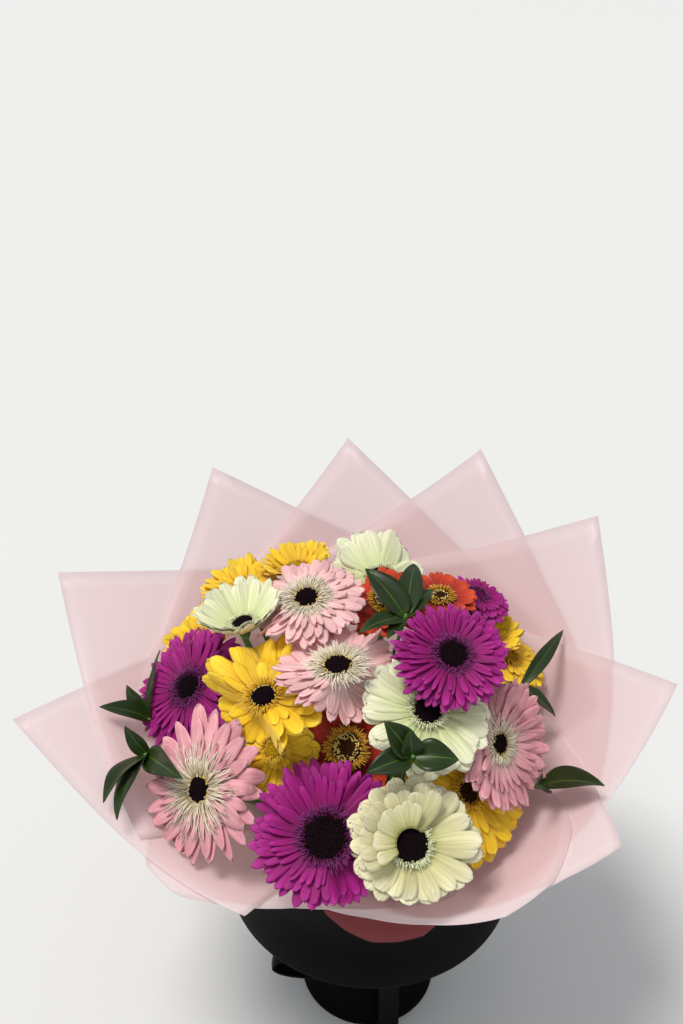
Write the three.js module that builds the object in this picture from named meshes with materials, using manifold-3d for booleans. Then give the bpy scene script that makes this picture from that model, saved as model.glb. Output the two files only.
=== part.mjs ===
// Gerberas and leafy sprigs, hand-tied and wrapped in translucent film, standing in a footed vase.
// Millimetres, +Z up. The origin is the middle of the vase's flat base, and the front faces -Y.
import * as THREE from 'three';
import Module from 'manifold-3d';
import { mergeVertices } from 'three/addons/utils/BufferGeometryUtils.js';

const wasm = await Module();
wasm.setup();

// ---------------------------------------------------------------- driving dimensions

// vase: outer radius and height up its wall, from the foot to the rim
const VASE_OUTSIDE = [
  [68, 0], [67, 6], [58, 24], [53, 60], [54, 98], [66, 117],
  [112, 141], [133, 153], [135, 164], [130, 208], [132, 246],
];
const VASE_INSIDE = [
  [126, 246], [125, 205], [127, 168], [107, 150], [63, 124],
  [47, 101], [47, 60], [53, 26], [53, 10],
];
const VASE_SIDES = 30;
const VASE_FLOOR = 10;
const WATER_TOP = 88;

// bouquet: its dome of blooms leans to the front and a little to the left
const DOME_TOP = new THREE.Vector3(-27, -25, 381);
const DOME_LEAN_FRONT = 16;
const DOME_LEAN_LEFT = 5;
const DOME_RADIUS = 165;
const DOME_DROP = 110;

// binding point, where the stems are tied and the film is gathered
const TIE_CENTRE = new THREE.Vector3(-6, 18, 150);
const TIE_HALF_HEIGHT = 9;
const BUNDLE_RADIUS = 26;
const FOOT_CENTRE = new THREE.Vector3(0, 2, VASE_FLOOR + 1);
const FOOT_SPREAD = 24;
const STEM_RADIUS = 2.8;
const STEM_SIDES = 5;

// gaps and thicknesses
const GAP = 0.3;
const PETAL_THICKNESS = 1.2;
const LEAF_THICKNESS = 1.0;
const FILM_THICKNESS = 0.6;
const FILM_PITCH = 1.1;
const FILM_CLEARANCE = 6;
const STEM_CLEARANCE = 16;
const LEVEL_STEP = 4.6;
const ROW_STEP = 1.8;

// petal rows
const OUTER_PETALS = 12;
const INNER_PETALS = 6;
const INNER_REACH = 0.62;
const HUB_DEPTH = 1.6;
const HUB_SOCKET = 0.9;

const COLOURS = {
  pink: ['#e9a9b6', 0.6],
  white: ['#e6ebc9', 0.6],
  purple: ['#a4169c', 0.55],
  yellow: ['#edb50b', 0.55],
  orange: ['#c93310', 0.55],
  eye: ['#24101a', 0.8],
  leaf: ['#1d4a25', 0.4],
  stem: ['#56803a', 0.55],
  film: ['#f0c3c8', 0.35],
  water: ['#dfe9ea', 0.05],
  vase: ['#0f0e10', 0.35],
  ribbon: ['#141214', 0.4],
  tie: ['#b9a98a', 0.8],
};

// Blooms from the topmost to the lowest, so that each one lies over those that follow it.
// turn and lean place the centre on the dome, rise lifts it off the dome, face turns and
// leans the bloom itself, cup folds the petals up (or down when negative).
const BLOOMS = [
  {
    name: 'white_front', colour: 'white', radius: 49, eye: 14, cup: 0.08,
    turn: -68.6, lean: 51.3, rise: 15, face: [-69, 26],
  },
  {
    name: 'purple_front', colour: 'purple', radius: 57, eye: 18, cup: 0.12,
    turn: -95.1, lean: 47.1, rise: 6, face: [-92, 17],
  },
  {
    name: 'purple_right', colour: 'purple', radius: 46, eye: 12.5, cup: 0.12,
    turn: -0.5, lean: 29.3, rise: 25, face: [-50, 15],
  },
  {
    name: 'white_mid', colour: 'white', radius: 53, eye: 12, cup: 0.05,
    turn: -28.9, lean: 28.6, rise: 1, face: [-30, 19],
  },
  {
    name: 'white_left', colour: 'white', radius: 39, eye: 10, cup: 0.7,
    turn: 144.6, lean: 34.8, rise: 10, face: [110, 18],
  },
  {
    name: 'pink_upper', colour: 'pink', radius: 50, eye: 11, cup: 0,
    turn: 110.7, lean: 22.8, rise: 14, face: [90, 4],
  },
  {
    name: 'pink_mid', colour: 'pink', radius: 54, eye: 12, cup: 0.2,
    turn: -76.3, lean: 3.5, rise: 5, face: [90, 14],
  },
  {
    name: 'pink_left', colour: 'pink', radius: 61, eye: 11, cup: 0.04,
    turn: -145.8, lean: 51.3, rise: 8, face: [-143, 38],
  },
  {
    name: 'yellow_mid', colour: 'yellow', radius: 58, eye: 11, cup: 0.2,
    turn: -154.7, lean: 21.7, rise: 5, face: [150, 8],
  },
  {
    name: 'pink_right', colour: 'pink', radius: 54, eye: 9, cup: 0.28,
    turn: -19.1, lean: 52.3, rise: 2, face: [-30, 57],
  },
  {
    name: 'yellow_low', colour: 'yellow', radius: 33, eye: 8, cup: 0,
    turn: -128.5, lean: 29.3, rise: -5, face: [-125, 27],
  },
  {
    name: 'orange_mid', colour: 'orange', radius: 41, eye: 12.5, cup: 0.02,
    turn: -83.6, lean: 24.1, rise: -23, face: [-89, 26],
  },
  {
    name: 'yellow_front', colour: 'yellow', radius: 57, eye: 9, cup: 0,
    turn: -38.6, lean: 54.6, rise: -12, face: [-36, 37],
  },
  {
    name: 'purple_left', colour: 'purple', radius: 59, eye: 12, cup: 0,
    turn: 168.3, lean: 54.1, rise: 3, face: [-154, 26],
  },
  {
    name: 'orange_back', colour: 'orange', radius: 39, eye: 10, cup: 0.1,
    turn: 59.4, lean: 28.2, rise: 6, face: [0, 10],
  },
  {
    name: 'orange_right', colour: 'orange', radius: 33, eye: 9, cup: 0.2,
    turn: 45.4, lean: 45.3, rise: 13, face: [60, 14],
  },
  {
    name: 'white_top', colour: 'white', radius: 50, eye: 11, cup: 0.42,
    turn: 70.4, lean: 40, rise: 14, face: [70, 10],
  },
  {
    name: 'purple_back', colour: 'purple', radius: 33, eye: 8, cup: 0,
    turn: 42, lean: 59, rise: 27, face: [40, 24],
  },
  {
    name: 'yellow_narrow', colour: 'yellow', radius: 34, eye: 7, cup: 0.8,
    turn: 33.6, lean: 64.6, rise: -2, face: [26, 30],
  },
  {
    name: 'yellow_right', colour: 'yellow', radius: 39, eye: 8, cup: 0.1,
    turn: 24.3, lean: 68.3, rise: 8, face: [14, 32],
  },
  {
    name: 'yellow_back', colour: 'yellow', radius: 34, eye: 8, cup: 0.5,
    turn: 106.5, lean: 48.8, rise: 22, face: [107, 22],
  },
  {
    name: 'yellow_back_left', colour: 'yellow', radius: 38, eye: 8, cup: 0.4,
    turn: 126.9, lean: 50.8, rise: 27, face: [130, 24],
  },
  {
    name: 'yellow_far_left', colour: 'yellow', radius: 40, eye: 8, cup: 0.35,
    turn: 149.6, lean: 57.9, rise: 19, face: [155, 38],
  },
];

// blooms whose eye is the colour of their petals, or lies hidden: the eye is part of the bloom
const EYE_IN_BLOOM = [
  'yellow_low', 'yellow_front', 'yellow_narrow', 'yellow_right', 'yellow_back',
  'yellow_back_left', 'yellow_far_left', 'purple_back',
];

// Leafy sprigs: base is where the twig ends and its leaves start, each leaf is a tip and a width.
// Both are given as turn, lean and rise on the dome.
const SPRIGS = [
  {
    name: 'left_upper', base: [177, 65, 24],
    leaves: [
      [178, 63, 70, 18],
      [170, 63, 53, 14.5],
      [158, 60, 40, 6.5],
    ],
  },
  {
    name: 'left_lower', base: [-170, 63, 24],
    leaves: [
      [-156, 62, 70, 22],
      [-150, 61, 66, 20],
      [-147, 48, 30, 21],
      [-176, 60, 48, 14],
    ],
  },
  {
    name: 'top', base: [35, 23, 14],
    leaves: [
      [72, 25, 36, 26],
      [58, 40, 34, 20.5],
      [43, 36, 26, 15],
      [38, 8, 18, 16],
      [16, 14, 16, 12],
    ],
  },
  {
    name: 'middle', base: [-55, 33, 16],
    leaves: [
      [-76.9, 31.9, 22, 20],
      [-59.1, 22.7, 24, 21],
      [-51.7, 27.5, 30, 17],
      [-42.2, 39.8, 28, 24],
    ],
  },
  {
    name: 'right', base: [8, 62, 10],
    leaves: [
      [24, 72, 66, 12],
      [2, 72, 26, 13],
      [-7, 49, 12, 12],
    ],
  },
  {
    name: 'right_lower', base: [-20, 72, 14],
    leaves: [
      [-22, 66, 76, 26],
      [-30, 58, 38, 16],
    ],
  },
];
const TWIG_LENGTH = 42;
const TWIG_RADIUS = 1.6;

// Film sheets: the corner's turn and its distance t out on the shared surface. Each sheet lies
// inside the one before it. brim lists the outline of a sheet with no corner, as turn and t.
const SHEETS = [
  { name: 'film_left', corner: [184, 0.97] },
  { name: 'film_left_back', corner: [153, 1.013] },
  { name: 'film_back_left', corner: [116, 1.01] },
  { name: 'film_back', corner: [88, 1.012] },
  { name: 'film_back_right', corner: [61, 1.02] },
  { name: 'film_right_back', corner: [34, 1.01] },
  { name: 'film_right', corner: [-2, 0.956] },
  {
    name: 'film_right_front', corner: [-34.5, 0.88],
    brim: [
      [-92, 0.5], [-86, 0.585], [-80, 0.625], [-74.5, 0.657], [-64.5, 0.687], [-54.5, 0.731],
      [-44.5, 0.793], [-34.5, 0.88], [-24.5, 0.793], [-14.5, 0.731], [-4.5, 0.687],
      [5.5, 0.658], [15.5, 0.64], [23.5, 0.634],
    ],
  },
  {
    name: 'film_front_right', corner: [-59, 0.76],
    brim: [
      [-118, 0.5], [-104, 0.594], [-90, 0.62], [-75, 0.676], [-59, 0.76],
      [-46, 0.781], [-31, 0.74], [-12, 0.6], [0, 0.45],
    ],
  },
  {
    name: 'film_front_left', corner: [-122, 0.7],
    brim: [
      [-172, 0.6], [-156, 0.72], [-143, 0.776], [-133, 0.77], [-122, 0.705],
      [-110, 0.63], [-98, 0.597], [-86, 0.588], [-65, 0.612], [-54, 0.5],
    ],
  },
];
const DROOPING_SHEET = {
  name: 'film_front_low', corner: [-84, 0.6],
  brim: [
    [-111, 0.47], [-106, 0.535], [-98, 0.565], [-90, 0.586], [-82, 0.589],
    [-74, 0.587], [-66, 0.56], [-58, 0.46],
  ],
};
const SHEET_SPAN = 58;
const CORNER_ANGLE = 48;
const LATTICE_TURN = 15;
const LATTICE_ROWS = [-0.1, 0, 0.22, 0.42, 0.58, 0.78, 1.04];

// ---------------------------------------------------------------- small helpers

const rad = THREE.MathUtils.degToRad;
const vec = (x, y, z) => new THREE.Vector3(x, y, z);

// a steady scatter between -1 and 1, the same on every run
function scatter(a, b = 0) {
  const s = Math.sin(a * 12.9898 + b * 78.233) * 43758.5453;
  return 2 * (s - Math.floor(s)) - 1;
}

// the dome's own axes: AXIS points out of the bouquet, ACROSS to its right, BEHIND to its back
const AXIS = vec(
  -Math.sin(rad(DOME_LEAN_LEFT)),
  -Math.sin(rad(DOME_LEAN_FRONT)) * Math.cos(rad(DOME_LEAN_LEFT)),
  Math.cos(rad(DOME_LEAN_FRONT)) * Math.cos(rad(DOME_LEAN_LEFT)),
);
const ACROSS = vec(1, 0, 0).addScaledVector(AXIS, -AXIS.x).normalize();
const BEHIND = vec(0, 0, 0).crossVectors(AXIS, ACROSS);
const DOME_CENTRE = DOME_TOP.clone().addScaledVector(AXIS, -DOME_DROP);

function domeDirection(turn, lean) {
  return vec(0, 0, 0)
    .addScaledVector(ACROSS, Math.sin(rad(lean)) * Math.cos(rad(turn)))
    .addScaledVector(BEHIND, Math.sin(rad(lean)) * Math.sin(rad(turn)))
    .addScaledVector(AXIS, Math.cos(rad(lean)));
}

function domePoint(turn, lean, rise) {
  return DOME_CENTRE.clone().addScaledVector(domeDirection(turn, lean), DOME_RADIUS + rise);
}

// a manifold solid from plain points and triangles
function solidOf(points, faces) {
  const vertProperties = new Float32Array(points.flatMap((p) => [p.x, p.y, p.z]));
  const triVerts = new Uint32Array(faces.flat());
  return new wasm.Manifold(new wasm.Mesh({ numProp: 3, vertProperties, triVerts }));
}

// a manifold solid from a three.js geometry with its vertices merged
function solidOfGeometry(geometry) {
  geometry.deleteAttribute('normal');
  geometry.deleteAttribute('uv');
  const merged = mergeVertices(geometry, 1e-4);
  const place = merged.getAttribute('position');
  const points = [];
  for (let i = 0; i < place.count; i += 1) {
    points.push(vec(place.getX(i), place.getY(i), place.getZ(i)));
  }
  const faces = [];
  for (let i = 0; i < merged.index.count; i += 3) {
    const corner = [0, 1, 2].map((k) => merged.index.getX(i + k));
    if (new Set(corner).size === 3) {
      faces.push(corner);
    }
  }
  return solidOf(points, faces);
}

// a joined solid without the small pockets that its rows of petals close between them
function withoutPockets(solid) {
  return solid.decompose().reduce((best, part) => (part.volume() > best.volume() ? part : best));
}

// a thin closed slab: an upper skin, the same skin below it, and a wall along the open edges
function slab(upper, lower, faces) {
  const count = upper.length;
  const edges = new Set(faces.flatMap(([a, b, c]) => [`${a},${b}`, `${b},${c}`, `${c},${a}`]));
  const all = faces.flatMap(([a, b, c]) => [[a, b, c], [a + count, c + count, b + count]]);
  for (const edge of edges) {
    const [a, b] = edge.split(',').map(Number);
    if (!edges.has(`${b},${a}`)) {
      all.push([a + count, b + count, b]);
      all.push([a + count, b, a]);
    }
  }
  return solidOf([...upper, ...lower], all);
}

// a closed tube through rings of points, with flat ends; the rings turn left about the way on
function loft(rings) {
  const sides = rings[0].length;
  const points = rings.flat();
  const faces = [];
  for (let r = 0; r + 1 < rings.length; r += 1) {
    for (let s = 0; s < sides; s += 1) {
      const a = r * sides + s;
      const b = r * sides + (s + 1) % sides;
      faces.push([a, b, b + sides]);
      faces.push([a, b + sides, a + sides]);
    }
  }
  const last = (rings.length - 1) * sides;
  for (let s = 1; s + 1 < sides; s += 1) {
    faces.push([0, s + 1, s]);
    faces.push([last, last + s, last + s + 1]);
  }
  return solidOf(points, faces);
}

// a ring of points about a centre, square to the way on
function ring(centre, way, radius, sides) {
  const side = vec(0, 1, 0).cross(way).length() > 0.3 ? vec(0, 1, 0) : vec(1, 0, 0);
  const u = vec(0, 0, 0).crossVectors(side, way).normalize();
  const v = vec(0, 0, 0).crossVectors(way, u).normalize();
  return Array.from({ length: sides }, (_, k) => {
    const angle = (2 * Math.PI * k) / sides;
    return centre.clone()
      .addScaledVector(u, radius * Math.cos(angle))
      .addScaledVector(v, radius * Math.sin(angle));
  });
}

function tube(path, radii, sides) {
  return loft(path.map((point, i) => {
    const before = path[Math.max(i - 1, 0)];
    const after = path[Math.min(i + 1, path.length - 1)];
    const way = after.clone().sub(before).normalize();
    return ring(point, way, radii[i], sides);
  }));
}

// a turned solid about +Z from radius and height pairs that close on themselves
function turned(profile, sides) {
  const outline = profile.map(([radius, height]) => new THREE.Vector2(radius, height));
  outline.push(outline[0].clone());
  const geometry = new THREE.LatheGeometry(outline, sides);
  geometry.rotateX(Math.PI / 2);
  return solidOfGeometry(geometry);
}

function meshOf(name, solid, colourName) {
  const { vertProperties, triVerts } = solid.getMesh();
  const geometry = new THREE.BufferGeometry();
  geometry.setAttribute('position', new THREE.BufferAttribute(new Float32Array(vertProperties), 3));
  geometry.setIndex(new THREE.BufferAttribute(new Uint32Array(triVerts), 1));
  geometry.computeVertexNormals();
  const [colour, roughness] = COLOURS[colourName];
  const material = new THREE.MeshStandardMaterial({ color: colour, roughness, metalness: 0 });
  if (colourName === 'film' || colourName === 'water') {
    material.transparent = true;
    material.opacity = 0.6;
    material.side = THREE.DoubleSide;
  }
  const mesh = new THREE.Mesh(geometry, material);
  mesh.name = name;
  return mesh;
}

// ---------------------------------------------------------------- film wrap surface

// The gathered film opens from the tie, over the vase's rim and out to its corners. The sheets
// share one trumpet surface, and overlap round it like shingles, one film pitch apart.
const RIM_RING = { centre: vec(0, 0, 256), radius: 108, at: 0.42 };
const OUTER_RING = { rise: 30, radius: 285 };
const GATHER_RADIUS = 30.5;

function ringPoint(centre, turn, radius) {
  return centre.clone().add(vec(radius * Math.cos(rad(turn)), radius * Math.sin(rad(turn)), 0));
}

// a point of the shared surface: turn goes round, t goes from 0 at the tie to 1 at the corners
function trumpet(turn, t) {
  const tie = ringPoint(TIE_CENTRE.clone().setZ(TIE_CENTRE.z + TIE_HALF_HEIGHT), turn, GATHER_RADIUS);
  if (t < 0) {
    return tie.setZ(tie.z + 2 * TIE_HALF_HEIGHT * t * 10);
  }
  const rim = ringPoint(RIM_RING.centre, turn, RIM_RING.radius);
  const outer = DOME_TOP.clone()
    .addScaledVector(AXIS, OUTER_RING.rise)
    .addScaledVector(ACROSS, OUTER_RING.radius * Math.cos(rad(turn)))
    .addScaledVector(BEHIND, OUTER_RING.radius * Math.sin(rad(turn)));
  const m = RIM_RING.at;
  return tie.multiplyScalar(((t - m) * (t - 1)) / m)
    .addScaledVector(rim, (t * (t - 1)) / (m * (m - 1)))
    .addScaledVector(outer, (t * (t - m)) / (1 - m));
}

function trumpetOutward(turn, t) {
  const round = trumpet(turn + 1, t).sub(trumpet(turn - 1, t));
  const along = trumpet(turn, t + 0.01).sub(trumpet(turn, Math.max(t - 0.01, 0)));
  return round.cross(along).normalize();
}

// the turns that all sheets are creased along: each corner, and even steps between corners
function latticeTurns() {
  const turns = [];
  const corners = SHEETS.map((sheet) => sheet.corner[0]);
  corners.forEach((from, k) => {
    const to = k + 1 < corners.length ? corners[k + 1] : corners[0] - 360;
    const steps = Math.ceil((from - to) / LATTICE_TURN);
    for (let i = 0; i < steps; i += 1) {
      turns.push(from + ((to - from) * i) / steps);
    }
  });
  return [-360, 0, 360].flatMap((lap) => turns.map((turn) => turn + lap)).sort((a, b) => a - b);
}
const LATTICE_TURNS = latticeTurns();

// the surface as the film takes it up: straight from row to row along each crease
function filmPoint(turn, t) {
  const row = Math.max(LATTICE_ROWS.findLastIndex((edge) => edge <= t + 1e-9), 0);
  const next = Math.min(row + 1, LATTICE_ROWS.length - 1);
  const along = next === row ? 0 : (t - LATTICE_ROWS[row]) / (LATTICE_ROWS[next] - LATTICE_ROWS[row]);
  return trumpet(turn, LATTICE_ROWS[row]).lerp(trumpet(turn, LATTICE_ROWS[next]), along);
}

// the place of a turn in the order of the sheets, as a number between their indexes
function sheetOrder(turn, index) {
  const count = SHEETS.length;
  const cornerTurn = (k) => {
    const lap = Math.floor(k / count);
    return SHEETS[k - lap * count].corner[0] - 360 * lap;
  };
  let k = index;
  while (cornerTurn(k + 1) > turn) {
    k += 1;
  }
  while (cornerTurn(k) < turn) {
    k -= 1;
  }
  return k + (cornerTurn(k) - turn) / (cornerTurn(k) - cornerTurn(k + 1));
}

function filmPitch(t) {
  return FILM_PITCH * (1 + THREE.MathUtils.clamp(t / RIM_RING.at, 0, 1));
}

function cornerTop(sheet, turn) {
  const away = Math.abs(turn - sheet.corner[0]) * 0.68;
  const drop = 1 - Math.sin(rad(CORNER_ANGLE)) / Math.sin(rad(CORNER_ANGLE + away));
  return sheet.corner[1] - 0.96 * drop;
}

function brimTop(sheet, turn) {
  const next = sheet.brim.findIndex(([at]) => at >= turn);
  const [turnB, topB] = sheet.brim[Math.max(next, 1)];
  const [turnA, topA] = sheet.brim[Math.max(next, 1) - 1];
  return topA + ((topB - topA) * (turn - turnA)) / (turnB - turnA);
}

// one sheet: columns round the surface, each from the gather to the sheet's own outline
function sheetSolid(sheet, index, start, sag) {
  const low = sheet.brim ? sheet.brim[0][0] : sheet.corner[0] - SHEET_SPAN;
  const high = sheet.brim ? sheet.brim[sheet.brim.length - 1][0] : sheet.corner[0] + SHEET_SPAN;
  const topAt = (turn) => (sheet.brim ? brimTop(sheet, turn) : cornerTop(sheet, turn));
  const turns = LATTICE_TURNS.filter((turn) => turn >= low && turn <= high);
  const rows = LATTICE_ROWS.filter((t) => t >= start);
  const upper = [];
  const lower = [];
  const faces = [];
  const grid = turns.map((turn) => {
    const top = topAt(turn);
    const below = rows.filter((t) => t < top - 0.02);
    const column = rows.map((_, r) => (r < below.length ? below[r] : top));
    const used = column.slice(0, below.length + 1);
    return used.map((t) => {
      const outward = trumpetOutward(turn, Math.max(t, 0));
      const away = filmPitch(t) * (sheetOrder(turn, Math.floor(index)) - index);
      const point = filmPoint(turn, t).addScaledVector(outward, away);
      point.z -= sag * Math.max(t - 0.5, 0);
      upper.push(point.clone().addScaledVector(outward, -FILM_THICKNESS / 2));
      lower.push(point.clone().addScaledVector(outward, FILM_THICKNESS / 2));
      return upper.length - 1;
    });
  });
  for (let c = 0; c + 1 < grid.length; c += 1) {
    const near = grid[c];
    const far = grid[c + 1];
    const shared = Math.min(near.length, far.length);
    for (let r = 0; r + 1 < shared; r += 1) {
      faces.push([near[r], far[r + 1], far[r]]);
      faces.push([near[r], near[r + 1], far[r + 1]]);
    }
    for (let r = shared; r < far.length; r += 1) {
      faces.push([near[shared - 1], far[r], far[r - 1]]);
    }
    for (let r = shared; r < near.length; r += 1) {
      faces.push([near[r - 1], near[r], far[shared - 1]]);
    }
  }
  return slab(upper, lower, faces);
}

// sample points of the surface, for keeping blooms and leaves inside the film
const TRUMPET_SAMPLES = [];
for (let turn = 0; turn < 360; turn += 6) {
  for (let t = 0.3; t <= 1; t += 0.05) {
    TRUMPET_SAMPLES.push({ point: trumpet(turn, t), outward: trumpetOutward(turn, t) });
  }
}

function keepInsideFilm(point, margin) {
  let best = null;
  let nearest = Infinity;
  for (const sample of TRUMPET_SAMPLES) {
    const distance = sample.point.distanceToSquared(point);
    if (distance < nearest) {
      nearest = distance;
      best = sample;
    }
  }
  const past = point.clone().sub(best.point).dot(best.outward) + margin;
  if (past > 0) {
    point.addScaledVector(best.outward, -past);
  }
  return point;
}

// ---------------------------------------------------------------- blooms

// a stem's place in the bundle lies the same way from its middle as its bloom on the dome
function bundleSpot(turn, lean, spread) {
  const share = Math.min(lean / 70, 1);
  return vec(spread * share * Math.cos(rad(turn)), spread * share * Math.sin(rad(turn)), 0);
}

function tieSpot(turn, lean, height) {
  return TIE_CENTRE.clone().add(bundleSpot(turn, lean, BUNDLE_RADIUS - 3)).add(vec(0, 0, height));
}

function footSpot(turn, lean) {
  return FOOT_CENTRE.clone().add(bundleSpot(turn, lean, FOOT_SPREAD));
}

// a stem runs from its bloom or twig to the tie, kept off the film where it would meet it
function stemWay(above, turn, lean) {
  const tie = tieSpot(turn, lean, TIE_HALF_HEIGHT - 2);
  const from = above[above.length - 1];
  const straight = from.clone().lerp(tie, 0.5);
  const kept = keepInsideFilm(straight.clone(), STEM_CLEARANCE);
  return kept.distanceTo(straight) > 1 ? [...above, kept, tie] : [...above, tie];
}

BLOOMS.forEach((bloom, index) => {
  bloom.index = index;
  bloom.centre = domePoint(bloom.turn, bloom.lean, bloom.rise);
  bloom.facing = domeDirection(bloom.face[0], bloom.face[1]);
  bloom.right = vec(0, 0, 0).crossVectors(BEHIND, bloom.facing).normalize();
  bloom.up = vec(0, 0, 0).crossVectors(bloom.facing, bloom.right);
  bloom.way = stemWay(
    [bloom.centre.clone(), bloom.centre.clone().addScaledVector(bloom.facing, -26)],
    bloom.turn,
    bloom.lean,
  );
  bloom.over = BLOOMS.slice(0, index).filter(
    (other) => other.centre.distanceTo(bloom.centre) < other.radius + bloom.radius,
  );
  bloom.level = 1 + Math.max(-1, ...bloom.over.map((other) => other.level));
});

SPRIGS.forEach((sprig) => {
  sprig.start = domePoint(...sprig.base);
  const inward = DOME_CENTRE.clone().addScaledVector(AXIS, -20).sub(sprig.start).normalize();
  sprig.end = sprig.start.clone().addScaledVector(inward, TWIG_LENGTH);
  sprig.way = stemWay([sprig.start.clone(), sprig.end], sprig.base[0], sprig.base[1]);
});

function bloomHeight(bloom, reach) {
  const share = THREE.MathUtils.clamp((reach - bloom.eye) / (bloom.radius - bloom.eye), 0, 1.2);
  return bloom.cup * bloom.radius * share ** 1.4 - 3 * share ** 3;
}

// push a point of a petal below every bloom that lies over it
function settle(point, bloom, drop) {
  for (let pass = 0; pass < 3; pass += 1) {
    for (const other of bloom.over) {
      const local = point.clone().sub(other.centre);
      const height = local.dot(other.facing);
      const reach = Math.sqrt(Math.max(local.lengthSq() - height * height, 0));
      const beyond = Math.max(reach - other.radius - 8, 0);
      const room = bloomHeight(other, reach) - PETAL_THICKNESS - ROW_STEP
        - LEVEL_STEP * (bloom.level - other.level) - drop + beyond;
      if (height > room) {
        point.addScaledVector(other.facing, room - height);
      }
    }
  }
  return keepInsideFilm(point, FILM_CLEARANCE);
}

function distanceToWay(point, way) {
  let nearest = Infinity;
  for (let i = 0; i + 1 < way.length; i += 1) {
    const line = new THREE.Line3(way[i], way[i + 1]);
    const foot = line.closestPointToPoint(point, true, vec(0, 0, 0));
    nearest = Math.min(nearest, foot.distanceTo(point));
  }
  return nearest;
}

function freePoint(bloom, reach, angle, lift) {
  return bloom.centre.clone()
    .addScaledVector(bloom.right, reach * Math.cos(angle))
    .addScaledVector(bloom.up, reach * Math.sin(angle))
    .addScaledVector(bloom.facing, bloomHeight(bloom, reach) + lift);
}

// how far a petal may reach before it meets a stem or, in the inner row, another bloom
function clearReach(bloom, wanted, angle, row) {
  const lift = row.height + row.lift;
  const shortest = row.root + (row.free ? 3 : 8);
  let reach = wanted;
  while (reach > shortest) {
    const free = freePoint(bloom, reach, angle, lift);
    const tip = settle(free.clone(), bloom, row.drop);
    const pressed = row.free && free.distanceTo(tip) > 1;
    const blocked = BLOOMS.some((other) => other !== bloom && distanceToWay(tip, other.way) < 14)
      || SPRIGS.some((sprig) => distanceToWay(tip, sprig.way) < 12);
    if (!blocked && !pressed) {
      return reach;
    }
    reach -= 2;
  }
  return shortest;
}

// One row of petals on a flat hub, as one slab. A free row keeps its own shape, any other row
// settles below the blooms that lie over it. The socket cups the hub from below, the crown
// raises its middle.
function petalRow(bloom, row) {
  const upper = [];
  const lower = [];
  const faces = [];
  const put = (point, thick) => {
    upper.push(point.clone().addScaledVector(bloom.facing, thick / 2));
    lower.push(point.clone().addScaledVector(bloom.facing, -thick / 2));
    return upper.length - 1;
  };
  const flat = (reach, angle) => bloom.centre.clone()
    .addScaledVector(bloom.right, reach * Math.cos(angle))
    .addScaledVector(bloom.up, reach * Math.sin(angle))
    .addScaledVector(bloom.facing, row.height);
  const centre = put(flat(0, 0), HUB_DEPTH);
  lower[centre].addScaledVector(bloom.facing, -row.socket);
  upper[centre].addScaledVector(bloom.facing, row.crown);
  const step = (2 * Math.PI) / row.count;
  const roots = [];
  for (let i = 0; i < row.count; i += 1) {
    roots.push(put(flat(row.root, (i + row.spin) * step), HUB_DEPTH));
  }
  for (let i = 0; i < row.count; i += 1) {
    const right = roots[i];
    const left = roots[(i + 1) % row.count];
    const middle = (i + 0.5 + row.spin) * step;
    const wanted = row.reach * (1 + 0.05 * scatter(bloom.index * 31 + i, row.count));
    const reach = clearReach(bloom, wanted, middle, row);
    const belly = row.root + 0.6 * (reach - row.root);
    const spreadAt = (at, share) => {
      const half = share * step / 2;
      const sides = share === 0 ? [0] : [-half, half];
      const lift = row.height + row.lift * (at / row.reach);
      return sides.map((side) => {
        const angle = middle + side;
        const free = freePoint(bloom, at, angle, lift);
        return put(row.free ? free : settle(free, bloom, row.drop), PETAL_THICKNESS);
      });
    };
    const [bellyRight, bellyLeft] = spreadAt(belly, 0.9);
    faces.push([centre, right, left]);
    faces.push([right, bellyRight, bellyLeft]);
    faces.push([right, bellyLeft, left]);
    if (row.tips === 1) {
      const tip = spreadAt(reach, 0)[0];
      faces.push([bellyRight, tip, bellyLeft]);
    } else {
      const [tipRight, tipLeft] = spreadAt(reach, 0.44);
      faces.push([bellyRight, tipRight, tipLeft]);
      faces.push([bellyRight, tipLeft, bellyLeft]);
    }
  }
  return slab(upper, lower, faces);
}

function eyeSolid(bloom) {
  const radius = bloom.eye;
  const tall = 3 + 0.06 * radius;
  const sides = 10;
  const base = ROW_STEP + HUB_DEPTH / 2 + GAP;
  const heights = [
    [radius * 0.94, base],
    [radius * 0.88, base + tall * 0.7],
    [radius * 0.45, base + tall],
  ];
  return loft(heights.map(([reach, height]) => {
    const centre = bloom.centre.clone().addScaledVector(bloom.facing, height);
    return ring(centre, bloom.facing, reach, sides);
  }));
}

function bloomSolid(bloom) {
  const outer = petalRow(bloom, {
    count: OUTER_PETALS,
    root: bloom.eye + 1,
    reach: bloom.radius,
    height: 0,
    lift: 0,
    drop: ROW_STEP,
    spin: 0.5 * scatter(bloom.index),
    socket: 0,
    crown: 0,
    tips: 2,
    free: false,
  });
  const inner = petalRow(bloom, {
    count: INNER_PETALS,
    root: bloom.eye / Math.cos(Math.PI / INNER_PETALS) + GAP,
    reach: bloom.eye + INNER_REACH * (bloom.radius - bloom.eye),
    height: ROW_STEP,
    lift: 3,
    drop: 0,
    spin: 0.5 * scatter(bloom.index, 3),
    socket: HUB_SOCKET,
    crown: EYE_IN_BLOOM.includes(bloom.name) ? 4 : 0,
    tips: 1,
    free: true,
  });
  return withoutPockets(outer.add(inner));
}

// ---------------------------------------------------------------- stems and leafy sprigs

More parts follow.
